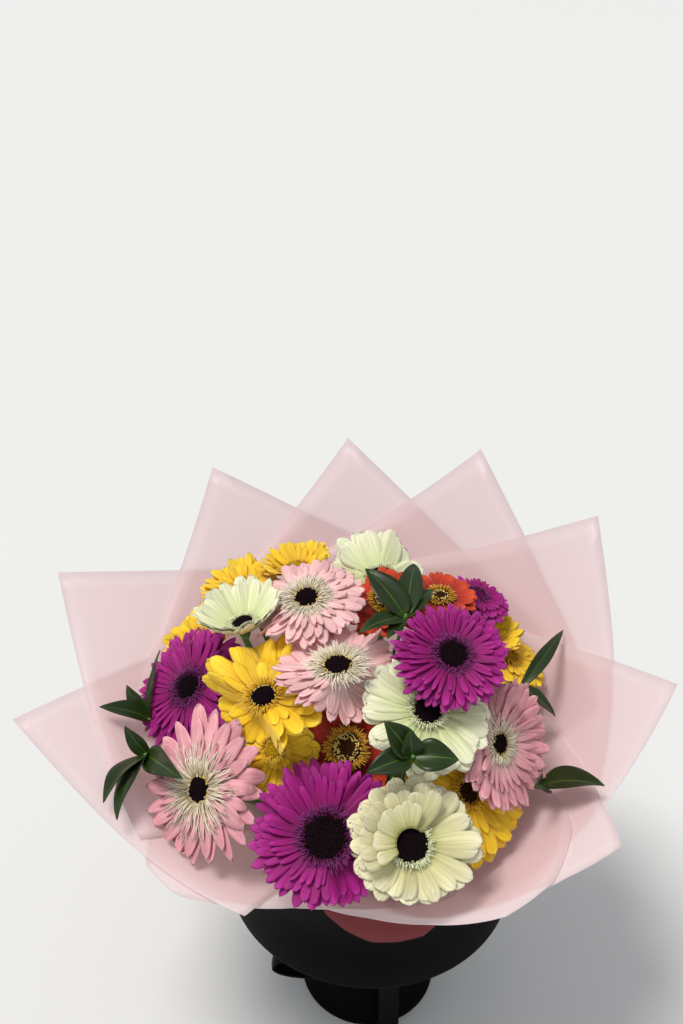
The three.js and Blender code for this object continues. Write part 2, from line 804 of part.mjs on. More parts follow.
// the tied bunch: every bloom's calyx and stem, and the foot of every twig, pressed together
// at the tie and standing on the vase's floor
function stemsSolid() {
  const bundleTop = vec(0, 0, TIE_HALF_HEIGHT);
  let solid = tube(
    [TIE_CENTRE.clone().add(bundleTop), TIE_CENTRE.clone().sub(bundleTop)],
    [BUNDLE_RADIUS, BUNDLE_RADIUS],
    12,
  );
  const addStem = (path, radii, turn, lean) => {
    const allRadii = [...radii, ...path.slice(radii.length).map(() => STEM_RADIUS), STEM_RADIUS];
    solid = solid.add(tube([...path, footSpot(turn, lean)], allRadii, STEM_SIDES));
  };
  BLOOMS.forEach((bloom) => {
    const below = (depth) => bloom.centre.clone().addScaledVector(bloom.facing, -depth);
    const hub = HUB_DEPTH / 2 + GAP;
    const calyx = [below(hub), below(hub + 11)];
    const radii = [Math.min(bloom.eye, 9), STEM_RADIUS + 1, STEM_RADIUS];
    addStem([...calyx, ...bloom.way.slice(1)], radii, bloom.turn, bloom.lean);
  });
  SPRIGS.forEach((sprig) => {
    const onward = sprig.end.clone().sub(sprig.start).normalize();
    const joint = [GAP, 6].map((depth) => sprig.end.clone().addScaledVector(onward, depth));
    addStem([...joint, ...sprig.way.slice(2)], [TWIG_RADIUS, TWIG_RADIUS], sprig.base[0], sprig.base[1]);
  });
  return withoutPockets(solid);
}

// a pointed blade from base to tip, folded a little along its midrib and bowed outward
function leafBlade(base, tip, width) {
  const along = tip.clone().sub(base);
  const outward = base.clone().add(tip).multiplyScalar(0.5).sub(DOME_CENTRE).normalize()
    .addScaledVector(AXIS, 1.2).normalize();
  const side = vec(0, 0, 0).crossVectors(along, outward).normalize();
  const out = vec(0, 0, 0).crossVectors(side, along).normalize();
  const stations = [[0, 0.14], [0.36, 0.98], [0.7, 0.78]];
  const upper = [];
  const lower = [];
  const put = (share, across, fold) => {
    const bow = 0.35 * along.length() * share * (1 - share);
    const point = base.clone()
      .addScaledVector(along, share)
      .addScaledVector(side, across)
      .addScaledVector(out, bow + fold);
    upper.push(point.clone().addScaledVector(out, LEAF_THICKNESS / 2));
    lower.push(point.clone().addScaledVector(out, -LEAF_THICKNESS / 2));
    return upper.length - 1;
  };
  const rows = stations.map(([share, wide]) => [
    put(share, (wide * width) / 2, 0.1 * wide * width),
    put(share, 0, 0),
    put(share, (-wide * width) / 2, 0.1 * wide * width),
  ]);
  const point = put(1, 0, 0);
  const faces = [];
  for (let r = 0; r + 1 < rows.length; r += 1) {
    for (const k of [0, 1]) {
      faces.push([rows[r][k], rows[r + 1][k], rows[r + 1][k + 1]]);
      faces.push([rows[r][k], rows[r + 1][k + 1], rows[r][k + 1]]);
    }
  }
  const [left, middle, right] = rows[rows.length - 1];
  faces.push([left, point, middle]);
  faces.push([middle, point, right]);
  return slab(upper, lower, faces);
}

function sprigSolid(sprig) {
  const outward = sprig.start.clone().sub(sprig.end).normalize();
  const knob = sprig.start.clone().addScaledVector(outward, 2);
  const radii = [TWIG_RADIUS, TWIG_RADIUS, TWIG_RADIUS];
  let solid = tube([sprig.end, sprig.start, knob], radii, STEM_SIDES);
  for (const [turn, lean, rise, width] of sprig.leaves) {
    solid = solid.add(leafBlade(sprig.start, domePoint(turn, lean, rise), width));
  }
  return withoutPockets(solid);
}

// ---------------------------------------------------------------- vase, water, ribbon and tie

function vaseSolid() {
  const profile = [...VASE_OUTSIDE, ...VASE_INSIDE, [0, VASE_FLOOR], [0, 0]];
  return turned(profile, VASE_SIDES);
}

// water fills the foot and waist, with one plain hole that the bundle of stems stands in
function waterSolid() {
  const wall = VASE_INSIDE.filter(([, height]) => height < WATER_TOP).reverse();
  const fill = [
    [0, VASE_FLOOR + GAP],
    [wall[0][0] - GAP, VASE_FLOOR + GAP],
    ...wall.slice(1).map(([radius, height]) => [radius - 2 * GAP, height]),
    [46, WATER_TOP],
    [0, WATER_TOP],
  ];
  const bundle = (height) => {
    const share = (height - FOOT_CENTRE.z) / (TIE_CENTRE.z - TIE_HALF_HEIGHT - FOOT_CENTRE.z);
    const centre = FOOT_CENTRE.clone().lerp(TIE_CENTRE, share).setZ(height);
    return ring(centre, vec(0, 0, 1), FOOT_SPREAD + STEM_RADIUS + 1, 16);
  };
  return turned(fill, VASE_SIDES).subtract(loft([bundle(VASE_FLOOR - 5), bundle(WATER_TOP + 5)]));
}

// the tie holds the gathered film and the stems
function tieSolid() {
  const inner = GATHER_RADIUS + 2.6;
  const height = TIE_HALF_HEIGHT - 3;
  const profile = [[inner, -height], [inner + 2.5, -height], [inner + 2.5, height], [inner, height]];
  return turned(profile, 24).translate(TIE_CENTRE.toArray());
}

// the ribbon: a band round the waist, a knot in front, one loop to the left and one tail
const RIBBON_WIDTH = 20;
const RIBBON_THICKNESS = 1.2;
const BAND = { radius: 55.7, low: 80, top: 100 };
const KNOT = { from: vec(2, -60, 90), to: vec(26, -60, 90), radius: 8 };
// loop seen from the front as x and z, tail seen from the right as y and z
const LOOP = [[8, 88], [-34, 84], [-76, 88], [-92, 99], [-78, 110], [-34, 104], [8, 93]];
const LOOP_MIDDLE = -67;
const TAIL = [[-60, 86], [-63, 60], [-68, 32], [-74, 5]];
const TAIL_MIDDLE = 19;

// a flat strip along a path, with its width lying the given way
function strip(path, across) {
  const upper = [];
  const lower = [];
  const faces = [];
  path.forEach((at, i) => {
    const before = path[Math.max(i - 1, 0)];
    const after = path[Math.min(i + 1, path.length - 1)];
    const out = after.clone().sub(before).normalize().cross(across).normalize();
    for (const side of [-0.5, 0.5]) {
      const edge = at.clone().addScaledVector(across, side * RIBBON_WIDTH);
      upper.push(edge.clone().addScaledVector(out, RIBBON_THICKNESS / 2));
      lower.push(edge.clone().addScaledVector(out, -RIBBON_THICKNESS / 2));
    }
    if (i > 0) {
      const a = 2 * (i - 1);
      faces.push([a, a + 2, a + 3]);
      faces.push([a, a + 3, a + 1]);
    }
  });
  return slab(upper, lower, faces);
}

function ribbonSolid() {
  const outer = BAND.radius + RIBBON_THICKNESS;
  const band = turned(
    [[BAND.radius, BAND.low], [outer, BAND.low], [outer, BAND.top], [BAND.radius, BAND.top]],
    VASE_SIDES,
  );
  const knot = tube([KNOT.from, KNOT.to], [KNOT.radius, KNOT.radius], 8);
  const loop = strip(LOOP.map(([x, z]) => vec(x, LOOP_MIDDLE, z)), vec(0, 1, 0));
  const tail = strip(TAIL.map(([y, z]) => vec(TAIL_MIDDLE, y, z)), vec(1, 0, 0));
  const ribbon = band.add(loop).add(tail).add(knot.subtract(vaseWaist()));
  return withoutPockets(ribbon);
}

// the space that the waist and the band's inner side take up
function vaseWaist() {
  return turned([[0, 60], [BAND.radius, 60], [BAND.radius, 120], [0, 120]], VASE_SIDES);
}

// ---------------------------------------------------------------- assembly

const bouquet = new THREE.Group();
bouquet.name = 'gerberas_in_vase';
for (const bloom of BLOOMS) {
  bouquet.add(meshOf(`${bloom.name}_petals`, bloomSolid(bloom), bloom.colour));
  if (!EYE_IN_BLOOM.includes(bloom.name)) {
    bouquet.add(meshOf(`${bloom.name}_eye`, eyeSolid(bloom), 'eye'));
  }
}
for (const sprig of SPRIGS) {
  bouquet.add(meshOf(`leafy_sprig_${sprig.name}`, sprigSolid(sprig), 'leaf'));
}
bouquet.add(meshOf('stems', stemsSolid(), 'stem'));
SHEETS.forEach((sheet, index) => {
  bouquet.add(meshOf(sheet.name, sheetSolid(sheet, index, -0.1, 0), 'film'));
});
bouquet.add(meshOf(DROOPING_SHEET.name, sheetSolid(DROOPING_SHEET, 5.5, 0.2, 340), 'film'));
bouquet.add(meshOf('tie', tieSolid(), 'tie'));
bouquet.add(meshOf('vase', vaseSolid(), 'vase'));
bouquet.add(meshOf('water', waterSolid(), 'water'));
bouquet.add(meshOf('ribbon', ribbonSolid(), 'ribbon'));

export default bouquet;
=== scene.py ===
"""Gerberas and leafy sprigs, hand-tied and wrapped in translucent film, in a footed vase."""
import math

import bpy
import numpy as np
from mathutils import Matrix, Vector


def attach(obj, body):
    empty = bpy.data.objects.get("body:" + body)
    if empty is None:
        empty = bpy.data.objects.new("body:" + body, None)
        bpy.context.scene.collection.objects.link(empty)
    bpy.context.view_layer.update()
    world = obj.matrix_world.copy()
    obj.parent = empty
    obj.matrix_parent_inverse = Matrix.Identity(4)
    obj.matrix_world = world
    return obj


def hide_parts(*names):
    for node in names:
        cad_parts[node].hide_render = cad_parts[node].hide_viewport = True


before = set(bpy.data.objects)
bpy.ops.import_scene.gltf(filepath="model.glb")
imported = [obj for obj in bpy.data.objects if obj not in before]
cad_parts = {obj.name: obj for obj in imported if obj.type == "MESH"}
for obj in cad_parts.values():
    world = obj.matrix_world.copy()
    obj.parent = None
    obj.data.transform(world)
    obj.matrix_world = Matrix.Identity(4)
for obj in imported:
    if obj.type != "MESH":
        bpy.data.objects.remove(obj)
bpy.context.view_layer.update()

MM = 0.001

# ------------------------------------------------------------------ measures, mm and degrees

# the dome of blooms leans to the front and a little to the left
DOME_TOP = np.array([-27.0, -25.0, 381.0])
DOME_LEAN_FRONT, DOME_LEAN_LEFT = 16, 5
DOME_RADIUS, DOME_DROP = 165, 110

# the stems are tied at the binding point, and stand on the vase's floor. A bloom that leans as
# far as BUNDLE_EDGE_LEAN has its stem on the outside of the bundle
TIE_CENTRE = np.array([-6.0, 18.0, 150.0])
TIE_HALF_HEIGHT = 9
TIE_ENTRY = TIE_HALF_HEIGHT - 2
BUNDLE_RADIUS, BUNDLE_INSET = 26, 3
BUNDLE_EDGE_LEAN = 70
FOOT_CENTRE = np.array([0.0, 2.0, 11.0])
FOOT_SPREAD = 24
STEM_RADIUS = 2.8
NECK_LENGTH = 26

# how far rows of petals, blooms that lie over each other, film and stems keep apart
PETAL_GAP = 1.2
ROW_STEP = 1.8
LEVEL_STEP = 4.6
BLOOM_MARGIN = 8
FILM_CLEARANCE = 6
STEM_CLEARANCE = 16
STEM_ROOM, TWIG_ROOM = 10, 8
SETTLE_PASSES = 3

# radius and height up the vase's wall, over its lip and down its inside
VASE_OUTSIDE = [
    (68, 0), (67, 6), (58, 24), (53, 60), (54, 98), (66, 117),
    (112, 141), (133, 153), (135, 164), (130, 208), (132, 246),
]
VASE_LIP = [(132, 245), (131.4, 245.8), (129, 246), (126.6, 245.8), (126, 245)]
VASE_INSIDE = [
    (126, 246), (125, 205), (127, 168), (107, 150), (63, 124),
    (47, 101), (47, 60), (53, 26), (53, 10),
]
VASE_SIDES, VASE_EDGE_ANGLE = 96, 40

# blooms from the topmost to the lowest, so that each one lies over those that follow it.
# name: turn, lean and rise on the dome, the way it faces, radius, eye and cup of its petals
BLOOMS = {
    "white_front": (-68.6, 51.3, 15, (-69, 26), 49, 14, 0.08),
    "purple_front": (-95.1, 47.1, 6, (-92, 17), 57, 18, 0.12),
    "purple_right": (-0.5, 29.3, 25, (-50, 15), 46, 12.5, 0.12),
    "white_mid": (-28.9, 28.6, 1, (-30, 19), 53, 12, 0.05),
    "white_left": (144.6, 34.8, 10, (110, 18), 39, 10, 0.7),
    "pink_upper": (110.7, 22.8, 14, (90, 4), 50, 11, 0),
    "pink_mid": (-76.3, 3.5, 5, (90, 14), 54, 12, 0.2),
    "pink_left": (-145.8, 51.3, 8, (-143, 38), 61, 11, 0.04),
    "yellow_mid": (-154.7, 21.7, 5, (150, 8), 58, 11, 0.2),
    "pink_right": (-19.1, 52.3, 2, (-30, 57), 54, 9, 0.28),
    "yellow_low": (-128.5, 29.3, -5, (-125, 27), 33, 8, 0),
    "orange_mid": (-83.6, 24.1, -23, (-89, 26), 41, 12.5, 0.02),
    "yellow_front": (-38.6, 54.6, -12, (-36, 37), 57, 9, 0),
    "purple_left": (168.3, 54.1, 3, (-154, 26), 59, 12, 0),
    "orange_back": (59.4, 28.2, 6, (0, 10), 39, 10, 0.1),
    "orange_right": (45.4, 45.3, 13, (60, 14), 33, 9, 0.2),
    "white_top": (70.4, 40, 14, (70, 10), 50, 11, 0.42),
    "purple_back": (42, 59, 27, (40, 24), 33, 8, 0),
    "yellow_narrow": (33.6, 64.6, -2, (26, 30), 34, 7, 0.8),
    "yellow_right": (24.3, 68.3, 8, (14, 32), 39, 8, 0.1),
    "yellow_back": (106.5, 48.8, 22, (107, 22), 34, 8, 0.5),
    "yellow_back_left": (126.9, 50.8, 27, (130, 24), 38, 8, 0.4),
    "yellow_far_left": (149.6, 57.9, 19, (155, 38), 40, 8, 0.35),
}

# name: base, then each leaf's tip and width, as turn, lean and rise on the dome
SPRIGS = {
    "left_upper": ((177, 65, 24), [(178, 63, 70, 18), (170, 63, 53, 14.5), (158, 60, 40, 6.5)]),
    "left_lower": ((-170, 63, 24), [
        (-156, 62, 70, 22), (-150, 61, 66, 20), (-147, 48, 30, 21), (-176, 60, 48, 14)]),
    "top": ((35, 23, 14), [
        (72, 25, 36, 26), (58, 40, 34, 20.5), (43, 36, 26, 15), (38, 8, 18, 16), (16, 14, 16, 12)]),
    "middle": ((-55, 33, 16), [
        (-76.9, 31.9, 22, 20), (-59.1, 22.7, 24, 21), (-51.7, 27.5, 30, 17), (-42.2, 39.8, 28, 24)]),
    "right": ((8, 62, 10), [(24, 72, 66, 12), (2, 72, 26, 13), (-7, 49, 12, 12)]),
    "right_lower": ((-20, 72, 14), [(-22, 66, 76, 26), (-30, 58, 38, 16)]),
}
TWIG_LENGTH, TWIG_RADIUS = 42, 1.6
TWIG_AIM = DOME_DROP + 20  # how far below the dome's top the twigs aim

# film sheets in order round the wrap: name, the turn of the corner and its distance out, and
# where the edges don't just fall away from the corner, the whole brim in the same way
SHEETS = [
    ("film_left", (184, 0.97), None),
    ("film_left_back", (153, 1.013), None),
    ("film_back_left", (116, 1.01), None),
    ("film_back", (88, 1.012), None),
    ("film_back_right", (61, 1.02), None),
    ("film_right_back", (34, 1.01), None),
    ("film_right", (-2, 0.956), None),
    ("film_right_front", (-34.5, 0.88), [
        (-92, 0.5), (-86, 0.585), (-80, 0.625), (-74.5, 0.657), (-64.5, 0.687), (-54.5, 0.731),
        (-44.5, 0.793), (-34.5, 0.88), (-24.5, 0.793), (-14.5, 0.731), (-4.5, 0.687),
        (5.5, 0.658), (15.5, 0.64), (23.5, 0.634)]),
    ("film_front_right", (-59, 0.76), [
        (-118, 0.5), (-104, 0.594), (-90, 0.62), (-75, 0.676), (-59, 0.76),
        (-46, 0.781), (-31, 0.74), (-12, 0.6), (0, 0.45)]),
    ("film_front_left", (-122, 0.7), [
        (-172, 0.6), (-156, 0.72), (-143, 0.776), (-133, 0.77), (-122, 0.705),
        (-110, 0.63), (-98, 0.597), (-86, 0.588), (-65, 0.612), (-54, 0.5)]),
]
DROOPING_SHEET = ("film_front_low", (-84, 0.6), [
    (-111, 0.47), (-106, 0.535), (-98, 0.565), (-90, 0.586), (-82, 0.589), (-74, 0.587),
    (-66, 0.56), (-58, 0.46)])
SHEET_SPAN = 58  # how far a sheet without a brim goes to each side of its corner
CORNER_ANGLE, CORNER_STEEPNESS, CORNER_HEIGHT = 48, 0.68, 0.96

# the low sheet lies between two others, starts above the tie and droops
LOW_SHEET_ORDER, LOW_SHEET_START, LOW_SHEET_SAG = 5.5, 0.2, 340

# the wrap opens from the tie, over the vase's rim, to an outer ring round the blooms
GATHER_RADIUS, GATHER_START = 30.5, -0.1
RIM_RING_CENTRE, RIM_RING_RADIUS, RIM_AT = np.array([0.0, 0.0, 256.0]), 108, 0.42
OUTER_RING_RISE, OUTER_RING_RADIUS = 30, 285
FILM_PITCH = 1.1
FILM_THICKNESS = 0.5
PLEATS, PLEAT_DEPTH, PLEATS_END = 24, 1.6, 0.5
SWELLS, SWELL_DEPTH, SWELLS_START = 5, 2.5, 0.45
SAG_START = 0.5

# ------------------------------------------------------------------ camera

PHOTO_WIDTH = 683
FOCAL_LENGTH = 995.6  # in pixels of the photograph
SENSOR_WIDTH = 36
CAMERA_PLACE, CAMERA_TILT = (-0.027, -0.6695, 0.9352), 60


def add_object(name, data):
    """A new object at the origin, in the scene."""
    made = bpy.data.objects.new(name, data)
    bpy.context.scene.collection.objects.link(made)
    return made


camera_data = bpy.data.cameras.new("view_from_front")
camera_data.sensor_fit = "HORIZONTAL"
camera_data.sensor_width = SENSOR_WIDTH
camera_data.lens = FOCAL_LENGTH / PHOTO_WIDTH * SENSOR_WIDTH
camera = add_object("view_from_front", camera_data)
camera.location = CAMERA_PLACE
camera.rotation_euler = (math.radians(CAMERA_TILT), 0, 0)
bpy.context.scene.camera = camera

# ------------------------------------------------------------------ places on the dome and wrap


def unit(v):
    return v / np.linalg.norm(v, axis=-1, keepdims=True)


def turn_of(degrees):
    return np.cos(np.radians(degrees)), np.sin(np.radians(degrees))


# the dome's own directions: out of the bouquet, to its right and to its back
_front, _left = math.radians(DOME_LEAN_FRONT), math.radians(DOME_LEAN_LEFT)
AXIS = np.array([
    -math.sin(_left), -math.sin(_front) * math.cos(_left), math.cos(_front) * math.cos(_left)])
ACROSS = unit(np.array([1.0, 0, 0]) - AXIS * AXIS[0])
BEHIND = np.cross(AXIS, ACROSS)
DOME_CENTRE = DOME_TOP - AXIS * DOME_DROP


def dome_direction(turn, lean):
    c, s = turn_of(turn)
    out = math.sin(math.radians(lean))
    return ACROSS * out * c + BEHIND * out * s + AXIS * math.cos(math.radians(lean))


def dome_point(turn, lean, rise):
    return DOME_CENTRE + dome_direction(turn, lean) * (DOME_RADIUS + rise)


def wrap_point(turn, t):
    """The wrap's shared surface: turn goes round, t goes out from the tie to the corners."""
    turn, t = np.broadcast_arrays(np.asarray(turn, float), np.asarray(t, float))
    c, s = turn_of(turn)
    flat = np.stack([c, s, np.zeros_like(c)], -1)
    tie = TIE_CENTRE + np.array([0, 0, TIE_HALF_HEIGHT]) + flat * GATHER_RADIUS
    rim = RIM_RING_CENTRE + flat * RIM_RING_RADIUS
    outer = (DOME_TOP + AXIS * OUTER_RING_RISE + ACROSS * OUTER_RING_RADIUS * c[..., None]
             + BEHIND * OUTER_RING_RADIUS * s[..., None])
    up = np.maximum(t, 0)[..., None]
    m = RIM_AT
    point = (tie * (up - m) * (up - 1) / m + rim * up * (up - 1) / (m * (m - 1))
             + outer * up * (up - m) / (1 - m))
    # below 0 it goes straight down through the tie
    point[..., 2] -= np.minimum(t, 0) / GATHER_START * 2 * TIE_HALF_HEIGHT
    return point


def wrap_outward(turn, t):
    t = np.maximum(t, 0)
    around = wrap_point(turn + 1, t) - wrap_point(turn - 1, t)
    along = wrap_point(turn, t + 0.01) - wrap_point(turn, np.maximum(t - 0.01, 0))
    return unit(np.cross(around, along))


_turns, _outs = np.meshgrid(np.arange(0, 360, 6.0), np.arange(0.3, 1.001, 0.05))
WRAP_SAMPLES = wrap_point(_turns, _outs).reshape(-1, 3)
WRAP_OUTWARD = wrap_outward(_turns, _outs).reshape(-1, 3)
BATCH = 4000  # points that are held against the wrap at a time


def keep_inside_film(points, margin):
    """Points that would come through the wrap are drawn back to its inner side."""
    for start in range(0, len(points), BATCH):
        part = points[start:start + BATCH]
        gap = ((part[:, None, :] - WRAP_SAMPLES[None]) ** 2).sum(-1)
        near = gap.argmin(1)
        past = ((part - WRAP_SAMPLES[near]) * WRAP_OUTWARD[near]).sum(-1) + margin
        part -= WRAP_OUTWARD[near] * np.maximum(past, 0)[:, None]
    return points


def bundle_spot(turn, lean, spread):
    """Where a stem lies in the bundle: the more its bloom leans, the further out."""
    c, s = turn_of(turn)
    share = min(lean / BUNDLE_EDGE_LEAN, 1)
    return np.array([spread * share * c, spread * share * s, 0])


def stem_way(above, turn, lean):
    """From a bloom or twig to the tie, bent where it would come near the film."""
    tie = TIE_CENTRE + bundle_spot(turn, lean, BUNDLE_RADIUS - BUNDLE_INSET) + [0, 0, TIE_ENTRY]
    straight = (above[-1] + tie) / 2
    kept = keep_inside_film(straight[None].copy(), STEM_CLEARANCE)[0]
    middle = [kept] if np.linalg.norm(kept - straight) > 1 else []
    return np.array([*above, *middle, tie])


class Bloom:
    """A bloom's place, its own directions, and the way of its stem down to the tie."""

    CUP_CURVE, TIP_FALL, FURTHEST = 1.4, 3, 1.2

    def __init__(self, index, name, turn, lean, rise, face, radius, eye, cup):
        self.index, self.name, self.colour = index, name, name.split("_")[0]
        self.turn, self.lean, self.radius, self.eye, self.cup = turn, lean, radius, eye, cup
        self.centre = dome_point(turn, lean, rise)
        self.facing = dome_direction(*face)
        self.right = unit(np.cross(BEHIND, self.facing))
        self.up = np.cross(self.facing, self.right)
        neck = self.centre - self.facing * NECK_LENGTH
        self.way = stem_way([self.centre, neck], turn, lean)
        self.over = []
        self.level = 0

    def lie_under(self, earlier):
        """Finds the blooms that lie over this one, and how many levels down it is."""
        self.over = [other for other in earlier
                     if np.linalg.norm(other.centre - self.centre) < other.radius + self.radius]
        self.level = 1 + max([-1] + [other.level for other in self.over])

    def height(self, reach):
        """How high its petals stand at a distance from its middle."""
        share = np.clip((reach - self.eye) / (self.radius - self.eye), 0, self.FURTHEST)
        return self.cup * self.radius * share ** self.CUP_CURVE - self.TIP_FALL * share ** 3

    def place(self, x, y, z):
        return (self.centre + x[..., None] * self.right + y[..., None] * self.up
                + z[..., None] * self.facing)


blooms = []
for _name, _values in BLOOMS.items():
    bloom = Bloom(len(blooms), _name, *_values)
    bloom.lie_under(blooms)
    blooms.append(bloom)

sprigs = {}
for _name, (_base, _leaves) in SPRIGS.items():
    _start = dome_point(*_base)
    _end = _start + unit(DOME_TOP - AXIS * TWIG_AIM - _start) * TWIG_LENGTH
    _way = stem_way([_start, _end], _base[0], _base[1])
    sprigs[_name] = dict(base=_base, leaves=_leaves, start=_start, end=_end, way=_way)


def settle(points, bloom, drop):
    """Push a bloom's points below every bloom that lies over it, and inside the film."""
    flat = points.reshape(-1, 3).copy()
    for _ in range(SETTLE_PASSES):
        for other in bloom.over:
            local = flat - other.centre
            height = local @ other.facing
            reach = np.sqrt(np.maximum((local ** 2).sum(-1) - height ** 2, 0))
            beyond = np.maximum(reach - other.radius - BLOOM_MARGIN, 0)
            room = (other.height(reach) - PETAL_GAP - ROW_STEP
                    - LEVEL_STEP * (bloom.level - other.level) - drop + beyond)
            flat += other.facing * np.minimum(room - height, 0)[:, None]
    return keep_inside_film(flat, FILM_CLEARANCE).reshape(points.shape)


def distance_to_way(points, way):
    nearest = np.full(len(points), np.inf)
    for a, b in zip(way[:-1], way[1:]):
        share = np.clip(((points - a) @ (b - a)) / ((b - a) @ (b - a)), 0, 1)
        foot = a + share[:, None] * (b - a)
        nearest = np.minimum(nearest, np.linalg.norm(points - foot, axis=-1))
    return nearest


SHORTEST_PETAL = 6
REACH_STEPS, REACH_STEP = 30, 2.0


def clear_reach(bloom, wanted, angles, height, drop, root, most_pressed):
    """How far each petal may reach before it meets a stem. Where most_pressed isn't 0, it also
    stops before another bloom presses it down by more than that."""
    steps = np.arange(REACH_STEPS) * REACH_STEP
    reach = np.maximum(wanted[:, None] - steps[None], root + SHORTEST_PETAL)
    x, y = reach * np.cos(angles)[:, None], reach * np.sin(angles)[:, None]
    free = bloom.place(x, y, bloom.height(reach) + height)
    tip = settle(free, bloom, drop)
    flat = tip.reshape(-1, 3)
    blocked = np.zeros(len(flat), bool)
    for other in blooms:
        if other is not bloom:
            blocked |= distance_to_way(flat, other.way) < STEM_ROOM
    for sprig in sprigs.values():
        blocked |= distance_to_way(flat, sprig["way"]) < TWIG_ROOM
    blocked = blocked.reshape(reach.shape)
    if most_pressed:
        blocked |= np.linalg.norm(free - tip, axis=-1) > most_pressed
    first = np.where(blocked.all(1), REACH_STEPS - 1, (~blocked).argmax(1))
    return reach[np.arange(len(reach)), first]


# ------------------------------------------------------------------ making pieces


def deselect():
    bpy.ops.object.select_all(action="DESELECT")


def select_only(piece):
    deselect()
    piece.select_set(True)
    bpy.context.view_layer.objects.active = piece


def finish_mesh(piece, thickness=0, edge_angle=None):
    """Gives a blade its thickness and smooths it; its object stays at the origin."""
    select_only(piece)
    if thickness:
        wall = piece.modifiers.new("thickness", "SOLIDIFY")
        wall.thickness = thickness * MM
        wall.offset = 0
        bpy.ops.object.modifier_apply(modifier="thickness")
    if edge_angle is None:
        bpy.ops.object.shade_smooth()
    else:
        bpy.ops.object.shade_smooth_by_angle(angle=math.radians(edge_angle))
    deselect()
    return piece


def take_pattern():
    """The corners and faces of the primitive just added, which is then removed."""
    shape = bpy.context.object
    corners = np.array([v.co[:] for v in shape.data.vertices])
    faces = [list(p.vertices) for p in shape.data.polygons]
    bpy.data.objects.remove(shape)
    return corners, faces


def blade_pattern(along, across):
    """One flat blade: where each point lies along and across it, and its faces."""
    deselect()
    bpy.ops.mesh.primitive_grid_add(x_subdivisions=along, y_subdivisions=across, size=1)
    corners, faces = take_pattern()
    return corners[:, 0] + 0.5, corners[:, 1] * 2, np.array(faces)


PETAL = blade_pattern(12, 6)
STRAP = blade_pattern(4, 2)
LEAF = blade_pattern(12, 6)
RIBBON = blade_pattern(40, 6)
FILM = blade_pattern(26, 48)


def blades(name, pattern, batches, thickness):
    """A piece of many copies of one blade: each batch holds points (copies, places, 3) in mm,
    and a tone from 0 to 1 for each copy."""
    along, across, faces = pattern
    points = np.concatenate([batch[0] for batch in batches])
    tones = np.concatenate([batch[1] for batch in batches])
    copies, places = points.shape[:2]
    all_faces = (faces[None] + np.arange(copies)[:, None, None] * places).reshape(-1, 4)
    mesh = bpy.data.meshes.new(name)
    mesh.from_pydata((points.reshape(-1, 3) * MM).tolist(), [], all_faces.tolist())
    corner = all_faces.reshape(-1) % places
    lie = mesh.uv_layers.new(name="lie")
    uv = np.stack([along[corner], across[corner] * 0.5 + 0.5], -1)
    lie.data.foreach_set("uv", uv.reshape(-1).astype(np.float32))
    tone = mesh.attributes.new("tone", "FLOAT", "POINT")
    tone.data.foreach_set("value", np.repeat(tones, places).astype(np.float32))
    return finish_mesh(add_object(name, mesh), thickness)


def hand_over(piece, materials, node):
    """A finished piece gets its materials and stands for a node of the part."""
    for material in materials:
        piece.data.materials.append(material)
    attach(piece, "root")
    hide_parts(node)


def smooth_line(points, steps):
    """A line through the points, rounded between them."""
    p = np.asarray(points, float)
    p = np.concatenate([2 * p[:1] - p[1:2], p, 2 * p[-1:] - p[-2:-1]])
    out = []
    for i in range(1, len(p) - 2):
        for k in range(steps):
            t = k / steps
            out.append(0.5 * (2 * p[i] + (p[i + 1] - p[i - 1]) * t
                              + (2 * p[i - 1] - 5 * p[i] + 4 * p[i + 1] - p[i + 2]) * t ** 2
                              + (3 * p[i] - p[i - 1] - 3 * p[i + 1] + p[i + 2]) * t ** 3))
    out.append(p[-2])
    return np.array(out)


def tubes(name, lines, roundness=3):
    """Round rods along lines of points with a radius at each point, all in mm."""
    curve = bpy.data.curves.new(name, "CURVE")
    curve.dimensions = "3D"
    curve.bevel_depth = MM
    curve.bevel_resolution = roundness
    curve.use_fill_caps = True
    for points, radii in lines:
        spline = curve.splines.new("POLY")
        spline.points.add(len(points) - 1)
        for place, at, radius in zip(spline.points, points, radii):
            place.co = (*(at * MM), 1)
            place.radius = radius
    select_only(add_object(name, curve))
    bpy.ops.object.convert(target="MESH")
    piece = bpy.context.object
    piece.name = name
    return finish_mesh(piece)


# ------------------------------------------------------------------ materials

BLACK, WHITE = (0, 0, 0, 1), (1, 1, 1, 1)


def add_node(tree, kind, inputs=None, **settings):
    """A shader node; inputs gives its sockets a link from another node, or a plain value."""
    made = tree.nodes.new(kind)
    for key, value in settings.items():
        setattr(made, key, value)
    for socket, value in (inputs or {}).items():
        if isinstance(value, bpy.types.NodeSocket):
            tree.links.new(value, made.inputs[socket])
        else:
            made.inputs[socket].default_value = value
    return made


def linear(code):
    """A colour written as #rrggbb, as the light values that the shader takes."""
    values = [int(code[i:i + 2], 16) / 255 for i in (1, 3, 5)]
    return (*[v / 12.92 if v <= 0.04045 else ((v + 0.055) / 1.055) ** 2.4 for v in values], 1)


def ramp(tree, fac, stops):
    made = add_node(tree, "ShaderNodeValToRGB", {"Fac": fac})
    elements = made.color_ramp.elements
    elements.remove(elements[-1])
    for i, (at, colour) in enumerate(stops):
        stop = elements[0] if i == 0 else elements.new(at)
        stop.position = at
        stop.color = colour
    return made.outputs["Color"]


def mix(tree, blend_type, factor, first, second):
    made = add_node(tree, "ShaderNodeMix", {"Factor": factor, "A": first, "B": second},
                    data_type="RGBA", blend_type=blend_type)
    return made.outputs["Result"]


